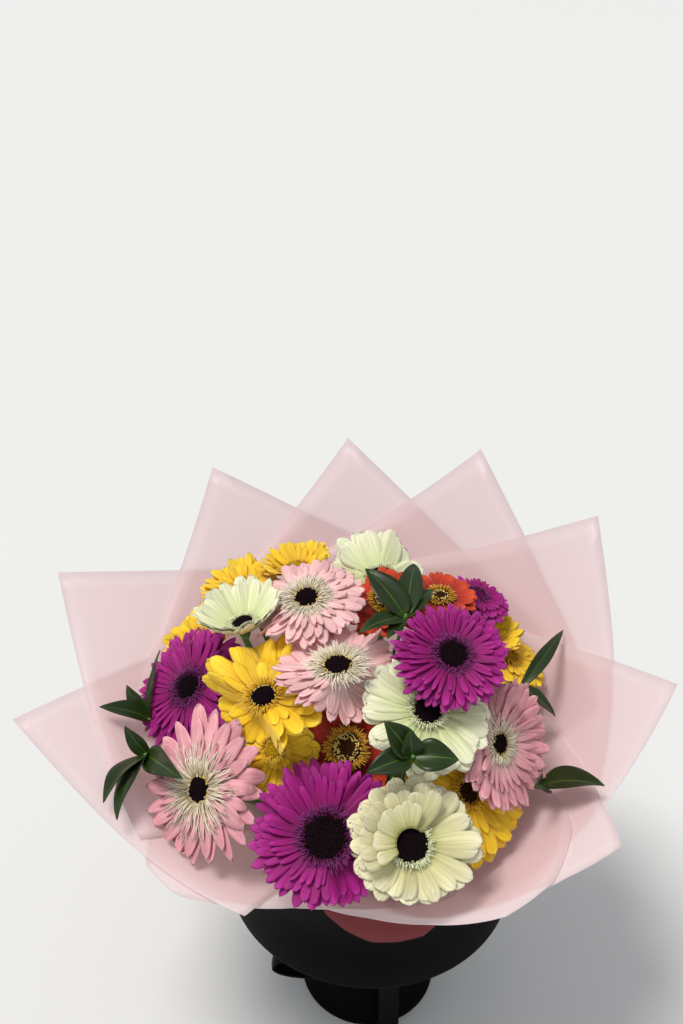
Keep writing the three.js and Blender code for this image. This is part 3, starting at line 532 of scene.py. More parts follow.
def noise(tree, place, scale, detail=2.0):
    made = add_node(tree, "ShaderNodeTexNoise",
                    {"Vector": place, "Scale": scale, "Detail": detail})
    return made.outputs["Fac"]


def on_object(tree):
    return add_node(tree, "ShaderNodeTexCoord").outputs["Object"]


def relief(tree, shader, height, strength, depth):
    """Fine relief in the surface, its depth in mm."""
    bump = add_node(tree, "ShaderNodeBump",
                    {"Strength": strength, "Distance": depth * MM, "Height": height})
    tree.links.new(bump.outputs["Normal"], shader.inputs["Normal"])


def start_material(name, roughness, **even):
    """even holds values of the shader's own sockets, with _ for each space."""
    material = bpy.data.materials.new(name)
    material.use_nodes = True
    shader = material.node_tree.nodes["Principled BSDF"]
    shader.inputs["Roughness"].default_value = roughness
    for socket, value in even.items():
        shader.inputs[socket.replace("_", " ")].default_value = value
    return material, material.node_tree, shader


STREAK_SHADES = [(0.3, (0.5, 0.46, 0.46, 1)), (0.7, (1.18, 1.18, 1.18, 1))]
RIB_LINE = [(0.47, BLACK), (0.495, WHITE), (0.505, WHITE), (0.53, BLACK)]
DARKEST_TONE, LIGHTEST_TONE = 0.82, 1.12
TONE_SHIFT = 37.0  # gives each blade its own stretch of the noise


def blade_material(name, stops, streak, roughness, grain, depth, rib=None, **even):
    """For petals, straps and leaves: a colour from root to tip, with streaks and grooves along
    it. streak is how dark they are, grain how many lie side by side and depth their relief."""
    material, tree, shader = start_material(name, roughness, **even)
    lie = add_node(tree, "ShaderNodeUVMap", uv_map="lie")
    split = add_node(tree, "ShaderNodeSeparateXYZ", {0: lie.outputs["UV"]})
    along, across = split.outputs["X"], split.outputs["Y"]
    tone = add_node(tree, "ShaderNodeAttribute", attribute_name="tone").outputs["Fac"]
    own = add_node(tree, "ShaderNodeMath", {0: tone, 1: TONE_SHIFT}, operation="MULTIPLY")
    beside = add_node(tree, "ShaderNodeMath", {0: across, 1: grain, 2: own.outputs[0]},
                      operation="MULTIPLY_ADD")
    place = add_node(tree, "ShaderNodeCombineXYZ", {0: along, 1: beside.outputs[0]})
    streaks = noise(tree, place.outputs[0], 1.0)
    plain = ramp(tree, along, [(at, linear(code)) for at, code in stops])
    colour = mix(tree, "MULTIPLY", streak, plain, ramp(tree, streaks, STREAK_SHADES))
    if rib:
        colour = mix(tree, "MIX", ramp(tree, across, RIB_LINE), colour, linear(rib))
    level = add_node(tree, "ShaderNodeMapRange",
                     {"Value": tone, "To Min": DARKEST_TONE, "To Max": LIGHTEST_TONE})
    shade = add_node(tree, "ShaderNodeHueSaturation",
                     {"Value": level.outputs["Result"], "Color": colour})
    tree.links.new(shade.outputs["Color"], shader.inputs["Base Color"])
    relief(tree, shader, streaks, 0.7, depth)
    return material


def speckled(name, first, second, scale, roughness, depth, **even):
    """Two close tones in a fine speckle, with a little relief."""
    material, tree, shader = start_material(name, roughness, **even)
    speckle = noise(tree, on_object(tree), scale, 4.0)
    colour = ramp(tree, speckle, [(0.35, linear(first)), (0.65, linear(second))])
    tree.links.new(colour, shader.inputs["Base Color"])
    relief(tree, shader, speckle, 0.5, depth)
    return material


def film_material(name, first, second, through, clearness):
    """Milky film: it lets some light through softly, and a little straight through."""
    material, tree, shader = start_material(name, 0.38)
    cloud = noise(tree, on_object(tree), 6.0)
    tint = ramp(tree, cloud, [(0.3, linear(first)), (0.7, linear(second))])
    tree.links.new(tint, shader.inputs["Base Color"])
    soft = add_node(tree, "ShaderNodeBsdfTranslucent", {"Color": linear(through)})
    milky = add_node(tree, "ShaderNodeMixShader",
                     {"Fac": 0.6, 1: shader.outputs[0], 2: soft.outputs[0]})
    clear = add_node(tree, "ShaderNodeBsdfTransparent", {"Color": linear("#fdf2f1")})
    whole = add_node(tree, "ShaderNodeMixShader",
                     {"Fac": clearness, 1: milky.outputs[0], 2: clear.outputs[0]})
    tree.links.new(whole.outputs[0], tree.nodes["Material Output"].inputs["Surface"])
    return material


def water_material():
    material, _, shader = start_material(
        "still_water", 0.02, Transmission_Weight=1, IOR=1.333)
    shader.inputs["Base Color"].default_value = linear("#e6f0ec")
    return material


SOFT = dict(Sheen_Weight=0.15, Specular_IOR_Level=0.25)
MATT = dict(roughness=0.9, depth=0.3, scale=900)
PETAL_RELIEF = dict(grain=6.0, depth=0.5)
FRINGE_FINISH = dict(streak=0.3, roughness=0.7, grain=2.0, depth=0.2)
PETAL_MATERIALS = {
    "pink": blade_material("pink_petal", [
        (0.0, "#f3e4d2"), (0.25, "#f7cfcb"), (0.75, "#f4babb"), (1.0, "#f8d2d0")],
        0.5, 0.6, **PETAL_RELIEF, **SOFT),
    # rose: a deeper pink, partly the blooms' own tone and partly painted shade
    "rose": blade_material("rose_shaded_petal", [
        (0.0, "#efdcc6"), (0.25, "#edb4b6"), (0.75, "#e39aa4"), (1.0, "#eeb9bc")],
        0.55, 0.6, **PETAL_RELIEF, **SOFT),
    # cream: a warmer, darker white, partly the bloom's own tone and partly painted shade
    "cream": blade_material("cream_shaded_petal", [
        (0.0, "#a3a457"), (0.25, "#d2cd92"), (0.7, "#e6dfb2"), (1.0, "#efe8cb")],
        0.45, 0.6, **PETAL_RELIEF, **SOFT),
    "white": blade_material("white_petal", [
        (0.0, "#b4c07a"), (0.25, "#dbe2aa"), (0.7, "#ecedc6"), (1.0, "#f2f1d6")],
        0.45, 0.6, **PETAL_RELIEF, **SOFT),
    "purple": blade_material("purple_petal", [
        (0.0, "#4a0632"), (0.25, "#860a5e"), (0.7, "#a1127a"), (1.0, "#b93a98")],
        0.65, 0.55, **PETAL_RELIEF, Sheen_Weight=0.05, Specular_IOR_Level=0.2),
    "yellow": blade_material("yellow_petal", [
        (0.0, "#c9920c"), (0.3, "#f0bd16"), (0.8, "#f8cf26"), (1.0, "#fddd54")],
        0.5, 0.55, **PETAL_RELIEF, **SOFT),
    "orange": blade_material("orange_petal", [
        (0.0, "#641008"), (0.4, "#ad240c"), (0.85, "#d84410"), (1.0, "#e8661e")],
        0.6, 0.55, **PETAL_RELIEF, **SOFT),
}
# blooms whose petals have another tone than their colour's own, partly their own tone and partly
# painted shade: rose for the two steeply turned pink blooms, cream for the front white one
PETAL_FINISH = {"pink_left": "rose", "pink_right": "rose", "white_front": "cream"}
FRINGE_MATERIALS = {
    "pink": blade_material("cream_fringe", [
        (0.0, "#7a6a38"), (0.25, "#d8caa0"), (1.0, "#f6ecdc")], **FRINGE_FINISH),
    "white": blade_material("pale_fringe", [
        (0.0, "#6d7043"), (0.4, "#d6dcac"), (1.0, "#edf0cf")], **FRINGE_FINISH),
    "purple": blade_material("maroon_fringe", [
        (0.0, "#1f0718"), (0.5, "#5a0b47"), (1.0, "#9c2a86")], **FRINGE_FINISH),
    "yellow": blade_material("golden_fringe", [
        (0.0, "#8a6006"), (0.5, "#dca60c"), (1.0, "#f4cf4a")], **FRINGE_FINISH),
    "orange": blade_material("amber_fringe", [
        (0.0, "#5a2c08"), (0.5, "#c08414"), (1.0, "#e0b436")], **FRINGE_FINISH),
}
DARK_EYE = speckled("dark_eye", "#0c0509", "#1d0d14", **MATT, Specular_IOR_Level=0.1)
BROWN_EYE = speckled("brown_eye", "#2a150c", "#4e2c16", **MATT, Specular_IOR_Level=0.1)
OLIVE_EYE = speckled("olive_eye", "#8a7412", "#c99c14", **MATT, Specular_IOR_Level=0.15)
PLUM_EYE = speckled("plum_eye", "#4a0a38", "#6f1257", **MATT, Specular_IOR_Level=0.15)
PALE_TIPS = speckled("pale_tips", "#7d7a4c", "#b9b78a", 1200, 0.9, 0.2)
POLLEN_TIPS = speckled("pollen_tips", "#c9a93c", "#e9d68a", 1200, 0.8, 0.2)
LEAF_MATERIAL = blade_material("glossy_leaf", [
    (0.0, "#435a1a"), (0.15, "#25390d"), (0.7, "#1b2d0a"), (1.0, "#283f10")],
    0.35, 0.36, 9.0, 0.25, rib="#4f6a26", Specular_IOR_Level=0.3)
STEM_MATERIAL = speckled("green_stem", "#4f7a36", "#6f9a4c", 220, 0.45, 0.1)
FILM_MATERIAL = film_material("pink_film", "#f8e8e9", "#fbecec", "#fdf2f3", 0.12)
# the drooping sheet is the same film, painted darker and deeper rose as painted shade, since it
# hangs unlit below the others
LOW_FILM_PAINTED_SHADE = film_material("painted_shade_film", "#b4696c", "#bc7275", "#b0585c", 0.3)
VASE_MATERIAL = speckled("satin_black", "#090607", "#0d0a0b", 700, 0.5, 0.02,
                         Specular_IOR_Level=0.035)
RIBBON_MATERIAL = speckled("black_satin", "#080707", "#110f0f", 500, 0.45, 0.05,
                           Specular_IOR_Level=0.1)
TIE_MATERIAL = speckled("natural_twine", "#a8946c", "#cdbb92", 1500, 0.9, 0.3)

# ------------------------------------------------------------------ blooms

# rows of petals from the outermost to the innermost. Each row: count, reach as a share of the
# bloom's radius, width as a share of its room, height and lift of its tips in mm, point of its
# tips from 0 round to 1 sharp, drop below its neighbours, and how far a petal may be pressed
# down before it is made shorter (0 for any distance)
ROUND, TOOTHED, SHARP = 0.0, 0.3, 0.9
ROWS = {
    "pink": [
        (27, 1.0, 1.45, 0.0, 0.0, TOOTHED, 2.4, 0),
        (26, 0.94, 1.35, 1.2, 1.5, TOOTHED, 1.2, 0),
        (30, 0.7, 1.1, 2.4, 3.5, 0.5, 0.0, 2.0),
    ],
    "white": [
        (22, 1.0, 1.55, 0.0, 0.0, ROUND, 2.4, 0),
        (21, 0.95, 1.45, 1.3, 1.5, ROUND, 1.0, 0),
    ],
    "purple": [
        (42, 1.0, 1.55, 0.0, 0.0, 0.2, 2.4, 0),
        (40, 0.93, 1.4, 1.4, 2.2, 0.2, 1.0, 0),
        (38, 0.74, 1.1, 2.2, 4.0, TOOTHED, 0.0, 2.0),
    ],
    "yellow": [
        (22, 1.0, 1.5, 0.0, 0.0, 0.15, 2.4, 0),
        (21, 0.93, 1.35, 1.4, 2.0, 0.15, 1.0, 0),
        (18, 0.64, 1.05, 2.2, 3.5, TOOTHED, 0.0, 2.0),
    ],
    "orange": [
        (22, 1.0, 1.5, 0.0, 0.0, 0.15, 2.4, 0),
        (20, 0.9, 1.35, 1.4, 2.0, 0.15, 1.0, 0),
    ],
    "pink_left": [
        (21, 1.0, 1.3, 0.0, 0.0, 0.5, 2.4, 0),
        (19, 0.9, 1.15, 1.4, 3.0, 0.55, 1.0, 0),
        (24, 0.64, 0.8, 2.4, 4.5, SHARP, 0.0, 2.0),
    ],
}
# the front white bloom has two more rows of raised petals on its upper left side
RAISED_SECTOR, RAISED_SEED = (60, 215), 20
RAISED_ROWS = [
    (20, 0.8, 1.5, 3.0, 9.0, ROUND, 0.0, 0),
    (20, 0.62, 1.5, 5.0, 12.0, ROUND, 0.0, 0),
]
# fringe of small straps round each eye: count, reach as a share of the way to the petals' tips,
# and its lift
FRINGES = {
    "pink_left": [(130, 0.62, 3.0), (130, 0.5, 4.5), (110, 0.3, 6.0)],
    "pink": [(150, 0.42, 3.0), (140, 0.32, 4.2), (110, 0.2, 5.0)],
    "white": [(110, 0.17, 3.0), (90, 0.1, 4.0)],
    "purple": [(130, 0.26, 3.0), (110, 0.18, 4.2), (90, 0.1, 5.0)],
    "yellow": [(90, 0.2, 3.5), (70, 0.12, 4.5)],
    "orange": [(110, 0.26, 3.5), (90, 0.16, 4.5)],
}
# blooms with longer or shorter petals to one side: its direction and the share added
UNEVEN = {
    "white_front": [(-90, -0.12), (0, 0.14)],
    "purple_front": [(-90, -0.12), (90, 0.05)],
    "yellow_mid": [(95, 0.26)],
    "purple_right": [(215, 0.12)],
    "pink_left": [(60, 0.08)],
}
# the eye is dark, apart from these blooms
EYES = {
    "yellow_low": OLIVE_EYE, "yellow_narrow": OLIVE_EYE, "yellow_right": OLIVE_EYE,
    "yellow_back": OLIVE_EYE, "yellow_back_left": OLIVE_EYE, "yellow_far_left": OLIVE_EYE,
    "orange_mid": BROWN_EYE, "orange_right": BROWN_EYE, "orange_back": BROWN_EYE,
    "yellow_front": BROWN_EYE, "purple_back": PLUM_EYE,
}
BUD_TIPS = {
    "pink": POLLEN_TIPS, "white": PALE_TIPS, "purple": PLUM_EYE, "yellow": POLLEN_TIPS,
    "orange": POLLEN_TIPS,
}

# a petal's outline, as shares of its width and length, and its root as a share of the eye
ROOT_WIDTH, WIDEST_AT, TIP_FROM, STOUTEST, PETAL_ROOT = 0.42, 0.72, 0.7, 0.42, 0.8
# its relief and its twist in mm, and how much one petal differs from the next
SHINGLE, GROOVE, TURN_DOWN, TWIST = 0.55, 0.4, 0.35, 1.1
PETAL_TURN, PETAL_LENGTH, PETAL_WIDTH, SWAY, DROOP = 0.24, (-0.07, 0.05), (-0.18, 0.15), 0.09, 0.06
STRAP_HALF_WIDTH, STRAP_HEIGHT = 0.5, 2.6
STRAP_TURN, STRAP_ROOT, STRAP_LENGTH, STRAP_SWAY, STRAP_RISE = (
    0.4, (0.82, 0.98), (0.6, 1.15), 0.2, (0.5, 1.2))
PETAL_WALL, STRAP_WALL, LEAF_WALL = 0.36, 0.35, 0.7
PETAL_SEED, STRAP_SEED, EYE_SEED = 1000, 5000, 9000


def petal_profile(u, sharpness):
    """A petal's half width from root to tip, as a share of its widest."""
    swelling = np.sin(np.clip(u / WIDEST_AT, 0, 1) * math.pi / 2) ** 1.2
    out = np.clip((u - TIP_FROM) / (1 - TIP_FROM), 0, 1)
    round_end = (1 - out ** 2.8) ** 0.5 * (1 - 0.05 * out) + 0.05 * out
    sharp_end = 1 - 0.97 * np.clip((u - 0.45) / 0.55, 0, 1) ** 1.5
    return ((ROOT_WIDTH + (1 - ROOT_WIDTH) * swelling)
            * (round_end * (1 - sharpness) + sharp_end * sharpness))


def petal_relief(u, v):
    """Relief that rides on a settled petal: shingled edges, two grooves, turned-down sides."""
    shingle = SHINGLE * v * (0.3 + 0.7 * u)
    grooves = -GROOVE * np.cos(2.5 * math.pi * v) * np.sin(math.pi * u)
    return shingle + grooves - TURN_DOWN * v ** 2 * u


def column(draw, low, high, count):
    """A random value for each blade."""
    return draw.uniform(low, high, count)[:, None]


def petal_row(bloom, row, seed, sector=None):
    """A row of petals, or its part in a sector, each a little different from the next."""
    count, share, wide, height, lift, sharpness, drop, most_pressed = row
    draw = np.random.default_rng(PETAL_SEED + bloom.index * 17 + seed)
    step = 2 * math.pi / count
    angles = (np.arange(count) + 0.5 + draw.uniform(-0.5, 0.5)) * step
    angles += draw.uniform(-PETAL_TURN, PETAL_TURN, count) * step
    if sector:
        low, high = np.radians(sector)
        angles = angles[((angles - low) % (2 * math.pi)) < high - low]
        count = len(angles)
    root, tips = bloom.eye * PETAL_ROOT, bloom.radius * share
    wanted = tips * (1 + draw.uniform(*PETAL_LENGTH, count))
    for direction, more in UNEVEN.get(bloom.name, []):
        wanted *= 1 + more * np.clip(np.cos(angles - math.radians(direction)), 0, 1) ** 2
    reach = clear_reach(bloom, wanted, angles, height + lift, drop, root, most_pressed)

    u, v, _ = PETAL
    u = 1 - (1 - u) ** 1.4  # closer together at the tip, where the outline turns
    length = (reach - root)[:, None]
    half_width = wide * tips * WIDEST_AT * step / 2 * (1 + column(draw, *PETAL_WIDTH, count))
    half_width = np.minimum(half_width, length * STOUTEST)
    teeth = -0.02 * v ** 2 - 0.016 * (1 - np.cos(3 * math.pi * v)) * (u > 0.97)
    at = root + length * (u + teeth * u ** 4)
    sway = column(draw, -SWAY, SWAY, count) * length * u ** 2
    side = half_width * petal_profile(u, sharpness) * v + sway
    droop = column(draw, -DROOP, DROOP, count) * length * u ** 3
    c, s = np.cos(angles)[:, None], np.sin(angles)[:, None]
    z = bloom.height(at) + height + lift * at / tips + droop
    points = settle(bloom.place(at * c - side * s, at * s + side * c, z), bloom, drop)
    twist = column(draw, -TWIST, TWIST, count) * v * u ** 1.5
    points = points + (petal_relief(u, v) + twist)[..., None] * bloom.facing
    return points, draw.uniform(0, 1, count)


def fringe_row(bloom, row, seed):
    """A ring of small straps that stand up round the eye."""
    count, share, lift = row
    draw = np.random.default_rng(STRAP_SEED + bloom.index * 13 + seed)
    angles = (np.arange(count) + draw.uniform(-STRAP_TURN, STRAP_TURN, count)) * 2 * math.pi / count
    root = bloom.eye * column(draw, *STRAP_ROOT, count)
    length = share * (bloom.radius - bloom.eye) * column(draw, *STRAP_LENGTH, count)
    u, v, _ = STRAP
    at = root + length * u
    sway = column(draw, -STRAP_SWAY, STRAP_SWAY, count) * length * u ** 2
    side = STRAP_HALF_WIDTH * (1 - 0.75 * u ** 2) * v + sway
    rise = column(draw, *STRAP_RISE, count) * lift
    z = STRAP_HEIGHT + rise * np.sin(u * math.pi * 0.62) - 0.3 * np.abs(v)
    c, s = np.cos(angles)[:, None], np.sin(angles)[:, None]
    points = bloom.place(at * c - side * s, at * s + side * c, z)
    return points, draw.uniform(0, 1, count)


def bud_pattern():
    """One floret bud: a small faceted bead."""
    deselect()
    bpy.ops.mesh.primitive_ico_sphere_add(subdivisions=1, radius=1)
    corners, faces = take_pattern()
    return corners, np.array(faces)


def core_pattern():
    """The round core that the buds of an eye stand on."""
    deselect()
    bpy.ops.mesh.primitive_uv_sphere_add(segments=32, ring_count=12, radius=1)
    return take_pattern()


BUD, CORE = bud_pattern(), core_pattern()
GOLDEN_ANGLE = 2.399963
LEAST_BUDS, BUDS_PER_MM = 100, 16
BUD_SIZE, BUD_STRETCH, BUD_HEIGHT = 0.62, 1.5, 2.4
CORE_HEIGHT, CORE_UNDERSIDE = 2.2, 1.4
TIPPED_FROM = {"orange": 0.5}  # share of the eye's radius; 0.84 on the others


def eye_piece(bloom):
    """The eye: a low dome closed over with a spiral of small buds, the outer ones tipped."""
    draw = np.random.default_rng(EYE_SEED + bloom.index)
    tall = 3 + 0.06 * bloom.eye
    core, core_faces = CORE
    core = core * [bloom.eye * 0.99, bloom.eye * 0.99, tall * 0.8] + [0, 0, CORE_HEIGHT]
    core[:, 2] = np.maximum(core[:, 2], CORE_UNDERSIDE)

    bud, bud_faces = BUD
    count = int(LEAST_BUDS + BUDS_PER_MM * bloom.eye)
    k = np.arange(count) + 0.5
    reach = bloom.eye * 0.97 * np.sqrt(k / count)
    angle = k * GOLDEN_ANGLE
    z = BUD_HEIGHT + tall * (1 - (reach / bloom.eye) ** 2.2) ** 0.5 * 0.8
    size = BUD_SIZE * bloom.eye * math.sqrt(math.pi / count) * draw.uniform(0.8, 1.2, count)
    middle = np.stack([reach * np.cos(angle), reach * np.sin(angle), z], -1)
    buds = middle[:, None] + bud[None] * size[:, None, None] * np.array([1, 1, BUD_STRETCH])
    outer = reach > bloom.eye * TIPPED_FROM.get(bloom.colour, 0.84)
    tipped = outer & (draw.uniform(0, 1, count) < 0.5)

    every = np.concatenate([core, buds.reshape(-1, 3)])
    points = bloom.place(every[:, 0], every[:, 1], every[:, 2])
    all_bud_faces = bud_faces[None] + np.arange(count)[:, None, None] * len(bud) + len(core)
    mesh = bpy.data.meshes.new(bloom.name + "_disc")
    mesh.from_pydata(
        (points * MM).tolist(), [], core_faces + all_bud_faces.reshape(-1, 3).tolist())
    material = np.concatenate([np.zeros(len(core_faces)), np.repeat(tipped, len(bud_faces))])
    mesh.polygons.foreach_set("material_index", material.astype(np.int32))
    return finish_mesh(add_object(bloom.name + "_disc", mesh))


def dress_bloom(bloom):
    petals_node, eye_node = bloom.name + "_petals", bloom.name + "_eye"
    rows = ROWS.get(bloom.name, ROWS[bloom.colour])
    petals = [petal_row(bloom, row, k) for k, row in enumerate(rows)]
    if bloom.name == "white_front":
        petals += [petal_row(bloom, row, RAISED_SEED + k, RAISED_SECTOR)
                   for k, row in enumerate(RAISED_ROWS)]
    rays = blades(bloom.name + "_rays", PETAL, petals, PETAL_WALL)
    finish = PETAL_MATERIALS[PETAL_FINISH.get(bloom.name, bloom.colour)]
    hand_over(rays, [finish], petals_node)

    rows = FRINGES.get(bloom.name, FRINGES[bloom.colour])
    straps = [fringe_row(bloom, row, k) for k, row in enumerate(rows)]
    fringe = blades(bloom.name + "_fringe", STRAP, straps, STRAP_WALL)
    hand_over(fringe, [FRINGE_MATERIALS[bloom.colour]], petals_node)

    # the eye of a small or half hidden bloom is part of its petals' node
    materials = [EYES.get(bloom.name, DARK_EYE), BUD_TIPS[bloom.colour]]
    hand_over(eye_piece(bloom), materials,
              eye_node if eye_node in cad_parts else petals_node)


for bloom in blooms:
    dress_bloom(bloom)

# ------------------------------------------------------------------ stems and leafy sprigs

# the cup under a bloom narrows to its stem: how far below the bloom, and its widest
CALYX_DEPTHS, CALYX_RADIUS, CALYX_NARROWING = (1.2, 5, 11), 9, 0.72


def foot_spot(turn, lean):
    return FOOT_CENTRE + bundle_spot(turn, lean, FOOT_SPREAD)


def rounded_stem(line, radii):
    smooth = smooth_line(np.column_stack([line, radii]), 5)
    return smooth[:, :3], smooth[:, 3]


def bloom_stem(bloom):
    calyx = [bloom.centre - bloom.facing * depth for depth in CALYX_DEPTHS]
    line = [*calyx, *bloom.way[1:], foot_spot(bloom.turn, bloom.lean)]
    cup = min(bloom.eye, CALYX_RADIUS)
    radii = [cup, cup * CALYX_NARROWING, STEM_RADIUS + 1] + [STEM_RADIUS] * (len(line) - 3)
    return rounded_stem(line, radii)


def sprig_stem(sprig):
    line = [sprig["end"], *sprig["way"][2:], foot_spot(*sprig["base"][:2])]
    return rounded_stem(line, [TWIG_RADIUS] + [STEM_RADIUS * 0.8] * (len(line) - 1))


stems = tubes("tied_stems", [*map(bloom_stem, blooms), *map(sprig_stem, sprigs.values())])
hand_over(stems, [STEM_MATERIAL], "stems")


LEAF_BOW, LEAF_FOLD, LEAF_WAVE = 0.35, 0.2, 0.02


def leaf_points(base, tip, width):
    """A pointed leaf, folded a little along its midrib, bowed outward and waved at its edge."""
    u, v, _ = LEAF
    along = tip - base
    length = np.linalg.norm(along)
    outward = unit(unit((base + tip) / 2 - DOME_CENTRE) + AXIS * 1.2)
    side = unit(np.cross(along, outward))
    out = unit(np.cross(side, along))
    shape = np.sin(math.pi * np.clip(u, 0.02, 1) ** 0.78) ** 0.85 * (1 - 0.1 * u) + 0.05 * (1 - u)
    across = 0.54 * width * shape * v
    rise = (LEAF_BOW * length * u * (1 - u) + LEAF_FOLD * width * shape * np.abs(v) ** 1.3
            + LEAF_WAVE * length * np.sin(u * 7 + width) * v ** 2)
    return base + along * u[:, None] + side * across[:, None] + out * rise[:, None]


for name, sprig in sprigs.items():
    leaves = np.array([leaf_points(sprig["start"], dome_point(turn, lean, rise), width)
                       for turn, lean, rise, width in sprig["leaves"]])
    tones = np.linspace(0.1, 0.9, len(leaves))
    foliage = blades("foliage_" + name, LEAF, [(leaves, tones)], LEAF_WALL)
    hand_over(foliage, [LEAF_MATERIAL], "leafy_sprig_" + name)
    knob = sprig["start"] + unit(sprig["start"] - sprig["end"]) * 2
    line = smooth_line([sprig["end"], sprig["start"], knob], 4)
    twig = tubes("twig_" + name, [(line, np.full(len(line), TWIG_RADIUS))])
    hand_over(twig, [STEM_MATERIAL], "leafy_sprig_" + name)

# ------------------------------------------------------------------ film wrap


def corner_turn(k):
    """The turn of the k-th corner, counted on past the last sheet into further rounds."""
    lap = k // len(SHEETS)
    return SHEETS[k - lap * len(SHEETS)][1][0] - 360 * lap


def sheet_order(turn, index):
    """A turn's place in the order of the sheets, as a number between their indexes."""
    k = index
    while corner_turn(k + 1) > turn:
        k += 1
    while corner_turn(k) < turn:
        k -= 1
    return k + (corner_turn(k) - turn) / (corner_turn(k) - corner_turn(k + 1))


def sheet_limits(sheet):
    """The first and the last turn that a sheet covers."""
    _, (middle, _), brim = sheet
    return (brim[0][0], brim[-1][0]) if brim else (middle - SHEET_SPAN, middle + SHEET_SPAN)


def sheet_top(sheet, turn):
    """How far out a sheet's outline lies: along its brim, or falling away from its corner."""
    _, (middle, top), brim = sheet
    if brim:
        return np.interp(turn, *zip(*brim))
    angle = math.radians(CORNER_ANGLE)
    away = math.radians(abs(turn - middle) * CORNER_STEEPNESS)
    return top - CORNER_HEIGHT * (1 - math.sin(angle) / math.sin(angle + away))


def film_sheet(sheet, index, start, sag, material):
    """A sheet on the wrap's surface, from start out to its own outline, pleated where it is
    gathered and swelling a little towards its edge."""
    name, (middle, _), _ = sheet
    low, high = sheet_limits(sheet)
    u, v, _ = FILM
    half = (v + 1) / 2
    turn = np.where(half < 0.5, low + (middle - low) * half * 2,
                    middle + (high - middle) * (half * 2 - 1))
    turns, which = np.unique(turn.round(5), return_inverse=True)
    top = np.array([sheet_top(sheet, at) for at in turns])[which]
    order = np.array([sheet_order(at, int(index)) for at in turns])[which]
    t = start + (top - start) * u
    pitch = FILM_PITCH * (1 + np.clip(t / RIM_AT, 0, 1))
    pleat = (PLEAT_DEPTH * np.sin(np.radians(turn) * PLEATS)
             * np.clip(1 - t / PLEATS_END, 0, 1) * np.clip(t * 12, 0, 1))
    swell = (SWELL_DEPTH * np.sin(np.radians(turn) * SWELLS + 1)
             * np.clip((t - SWELLS_START) / 0.5, 0, 1))
    away = pitch * (order - index) + pleat + swell
    points = wrap_point(turn, t) + wrap_outward(turn, t) * away[:, None]
    points[:, 2] -= sag * np.maximum(t - SAG_START, 0)
    piece = blades(name + "_wrap", FILM, [(points[None], np.array([0.5]))], FILM_THICKNESS)
    hand_over(piece, [material], name)


for index, sheet in enumerate(SHEETS):
    film_sheet(sheet, index, GATHER_START, 0, FILM_MATERIAL)
film_sheet(DROOPING_SHEET, LOW_SHEET_ORDER, LOW_SHEET_START, LOW_SHEET_SAG, LOW_FILM_PAINTED_SHADE)

# ------------------------------------------------------------------ vase


def turned_piece(name, profile, sides):
    """Raised from a disc: the rim is drawn up the wall, over the lip and down the inside."""
    deselect()
    radius, height = profile[0]
    bpy.ops.mesh.primitive_circle_add(
        vertices=sides, radius=radius * MM, fill_type="NGON", location=(0, 0, height * MM))
    piece = bpy.context.object
    piece.name = name
    bpy.ops.object.transform_apply(location=True)
    bpy.ops.object.mode_set(mode="EDIT")
    bpy.ops.mesh.select_all(action="SELECT")
    for (r0, z0), (r1, z1) in zip(profile[:-1], profile[1:]):
        bpy.ops.mesh.extrude_region_move(TRANSFORM_OT_translate={"value": (0, 0, (z1 - z0) * MM)})
        bpy.ops.transform.resize(value=(r1 / r0, r1 / r0, 1), center_override=(0, 0, 0))
    bpy.ops.mesh.select_all(action="SELECT")
    bpy.ops.mesh.normals_make_consistent(inside=False)
    bpy.ops.object.mode_set(mode="OBJECT")
    return piece


outside, inside = smooth_line(VASE_OUTSIDE, 5), smooth_line(VASE_INSIDE, 5)
vase = turned_piece("satin_vase", [*outside[:-1], *VASE_LIP, *inside[1:]], VASE_SIDES)
finish_mesh(vase, edge_angle=VASE_EDGE_ANGLE)
hand_over(vase, [VASE_MATERIAL], "vase")

# ------------------------------------------------------------------ ribbon, tie and water

RIBBON_WIDTH, RIBBON_THICKNESS, RIBBON_CREASE = 20, 1.0, 0.5
BAND_RADIUS, BAND_HEIGHT, BAND_SHARE = 56.3, 90, 0.96
LOOP_LINE = [(8, -67, 88), (-34, -67, 84), (-76, -67, 88), (-92, -67, 99), (-78, -67, 110),
             (-34, -67, 104), (8, -67, 93)]
TAIL_LINE = [(19, -60, 86), (19, -63, 60), (19, -68, 32), (19, -74, 5)]
KNOT_CENTRE, KNOT_SIZE = (14, -62, 90), (13, 8, 9.5)
TWINE_TURNS, TWINE_PITCH, TWINE_RADIUS = 5, 2.4, 1.2
TWINE_RING_RADIUS = 34.3


def ribbon_band():
    """The ribbon's turn round the vase's waist."""
    u, v, _ = RIBBON
    c, s = np.cos(u * 2 * math.pi), np.sin(u * 2 * math.pi)
    height = BAND_HEIGHT + v * RIBBON_WIDTH / 2 * BAND_SHARE
    return np.stack([BAND_RADIUS * c, BAND_RADIUS * s, height], -1)


def ribbon_strip(line, across):
    """A satin strip laid along a line, its width the given way, with soft creases down it."""
    u, v, _ = RIBBON
    smooth = smooth_line(line, 16)
    length = np.linspace(0, 1, len(smooth))

    def line_at(share):
        return np.stack([np.interp(share, length, smooth[:, k]) for k in range(3)], -1)

    ahead, back = line_at(np.minimum(u + 0.02, 1)), line_at(np.maximum(u - 0.02, 0))
    out = unit(np.cross(unit(ahead - back), across))
    fold = RIBBON_CREASE * np.sin(v * 4.2 + u * 5)
    return line_at(u) + across * (v * RIBBON_WIDTH / 2)[:, None] + out * fold[:, None]


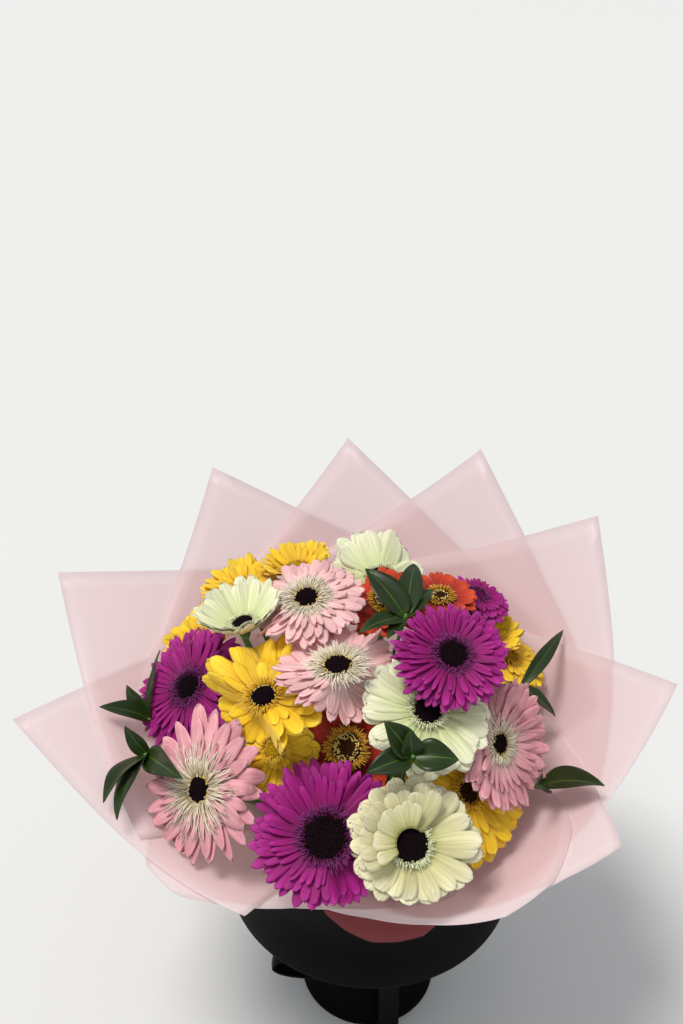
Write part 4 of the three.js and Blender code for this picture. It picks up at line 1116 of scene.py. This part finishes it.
def ribbon_knot():
    """A pinched ball, flattened against the vase."""
    deselect()
    bpy.ops.mesh.primitive_uv_sphere_add(segments=32, ring_count=20, radius=1)
    knot = bpy.context.object
    knot.name = "ribbon_knot"
    for v in knot.data.vertices:
        x, y, z = v.co
        pinch = 1 - 0.12 * math.cos(3 * math.atan2(z, x)) - 0.05 * math.sin(9 * y)
        shaped = (x * pinch, y, z * pinch)
        v.co = [(c + p * s) * MM for c, p, s in zip(KNOT_CENTRE, shaped, KNOT_SIZE)]
    return finish_mesh(knot)


def twine_turn(k):
    a = np.radians(np.linspace(0, 360, 49))
    height = np.full_like(a, (k - TWINE_TURNS // 2) * TWINE_PITCH)
    ring = np.stack([TWINE_RING_RADIUS * np.cos(a), TWINE_RING_RADIUS * np.sin(a), height], -1)
    return ring + TIE_CENTRE, np.full(len(a), TWINE_RADIUS)


strips = np.array([ribbon_band(), ribbon_strip(LOOP_LINE, np.array([0, 1.0, 0])),
                   ribbon_strip(TAIL_LINE, np.array([1.0, 0, 0]))])
ribbon = blades("satin_ribbon", RIBBON, [(strips, np.full(len(strips), 0.5))], RIBBON_THICKNESS)
hand_over(ribbon, [RIBBON_MATERIAL], "ribbon")
hand_over(ribbon_knot(), [RIBBON_MATERIAL], "ribbon")

tie = tubes("twine_tie", [twine_turn(k) for k in range(TWINE_TURNS)], 2)
hand_over(tie, [TIE_MATERIAL], "tie")

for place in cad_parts["water"].material_slots:
    place.material = water_material()

# ------------------------------------------------------------------ floor and light

FLOOR_RADIUS, FLOOR_COLOUR = 40, (0.68, 0.682, 0.672, 1)  # the radius in metres
ROOM_COLOUR, ROOM_STRENGTH = (0.925, 0.962, 1.0, 1), 0.59
KEY_COLOUR, KEY_STRENGTH, KEY_WIDTH = (1.0, 0.97, 0.93), 2.4, 20
KEY_DIRECTION = Vector((0.34, 0.05, -1.0))

deselect()
bpy.ops.mesh.primitive_circle_add(vertices=96, radius=FLOOR_RADIUS, fill_type="NGON")
floor = bpy.context.object
floor.name = "pale_floor"
floor_material, _, floor_shader = start_material("pale_floor", 0.9)
floor_shader.inputs["Base Color"].default_value = FLOOR_COLOUR
floor.data.materials.append(floor_material)

world = bpy.data.worlds.new("soft_room")
bpy.context.scene.world = world
world.use_nodes = True
background = world.node_tree.nodes["Background"]
background.inputs["Color"].default_value = ROOM_COLOUR
background.inputs["Strength"].default_value = ROOM_STRENGTH

key_data = bpy.data.lights.new("wide_key", "SUN")
key_data.energy = KEY_STRENGTH
key_data.angle = math.radians(KEY_WIDTH)
key_data.color = KEY_COLOUR
key = add_object("wide_key", key_data)
key.rotation_euler = KEY_DIRECTION.to_track_quat("-Z", "Y").to_euler()

bpy.context.scene.view_settings.view_transform = "Standard"
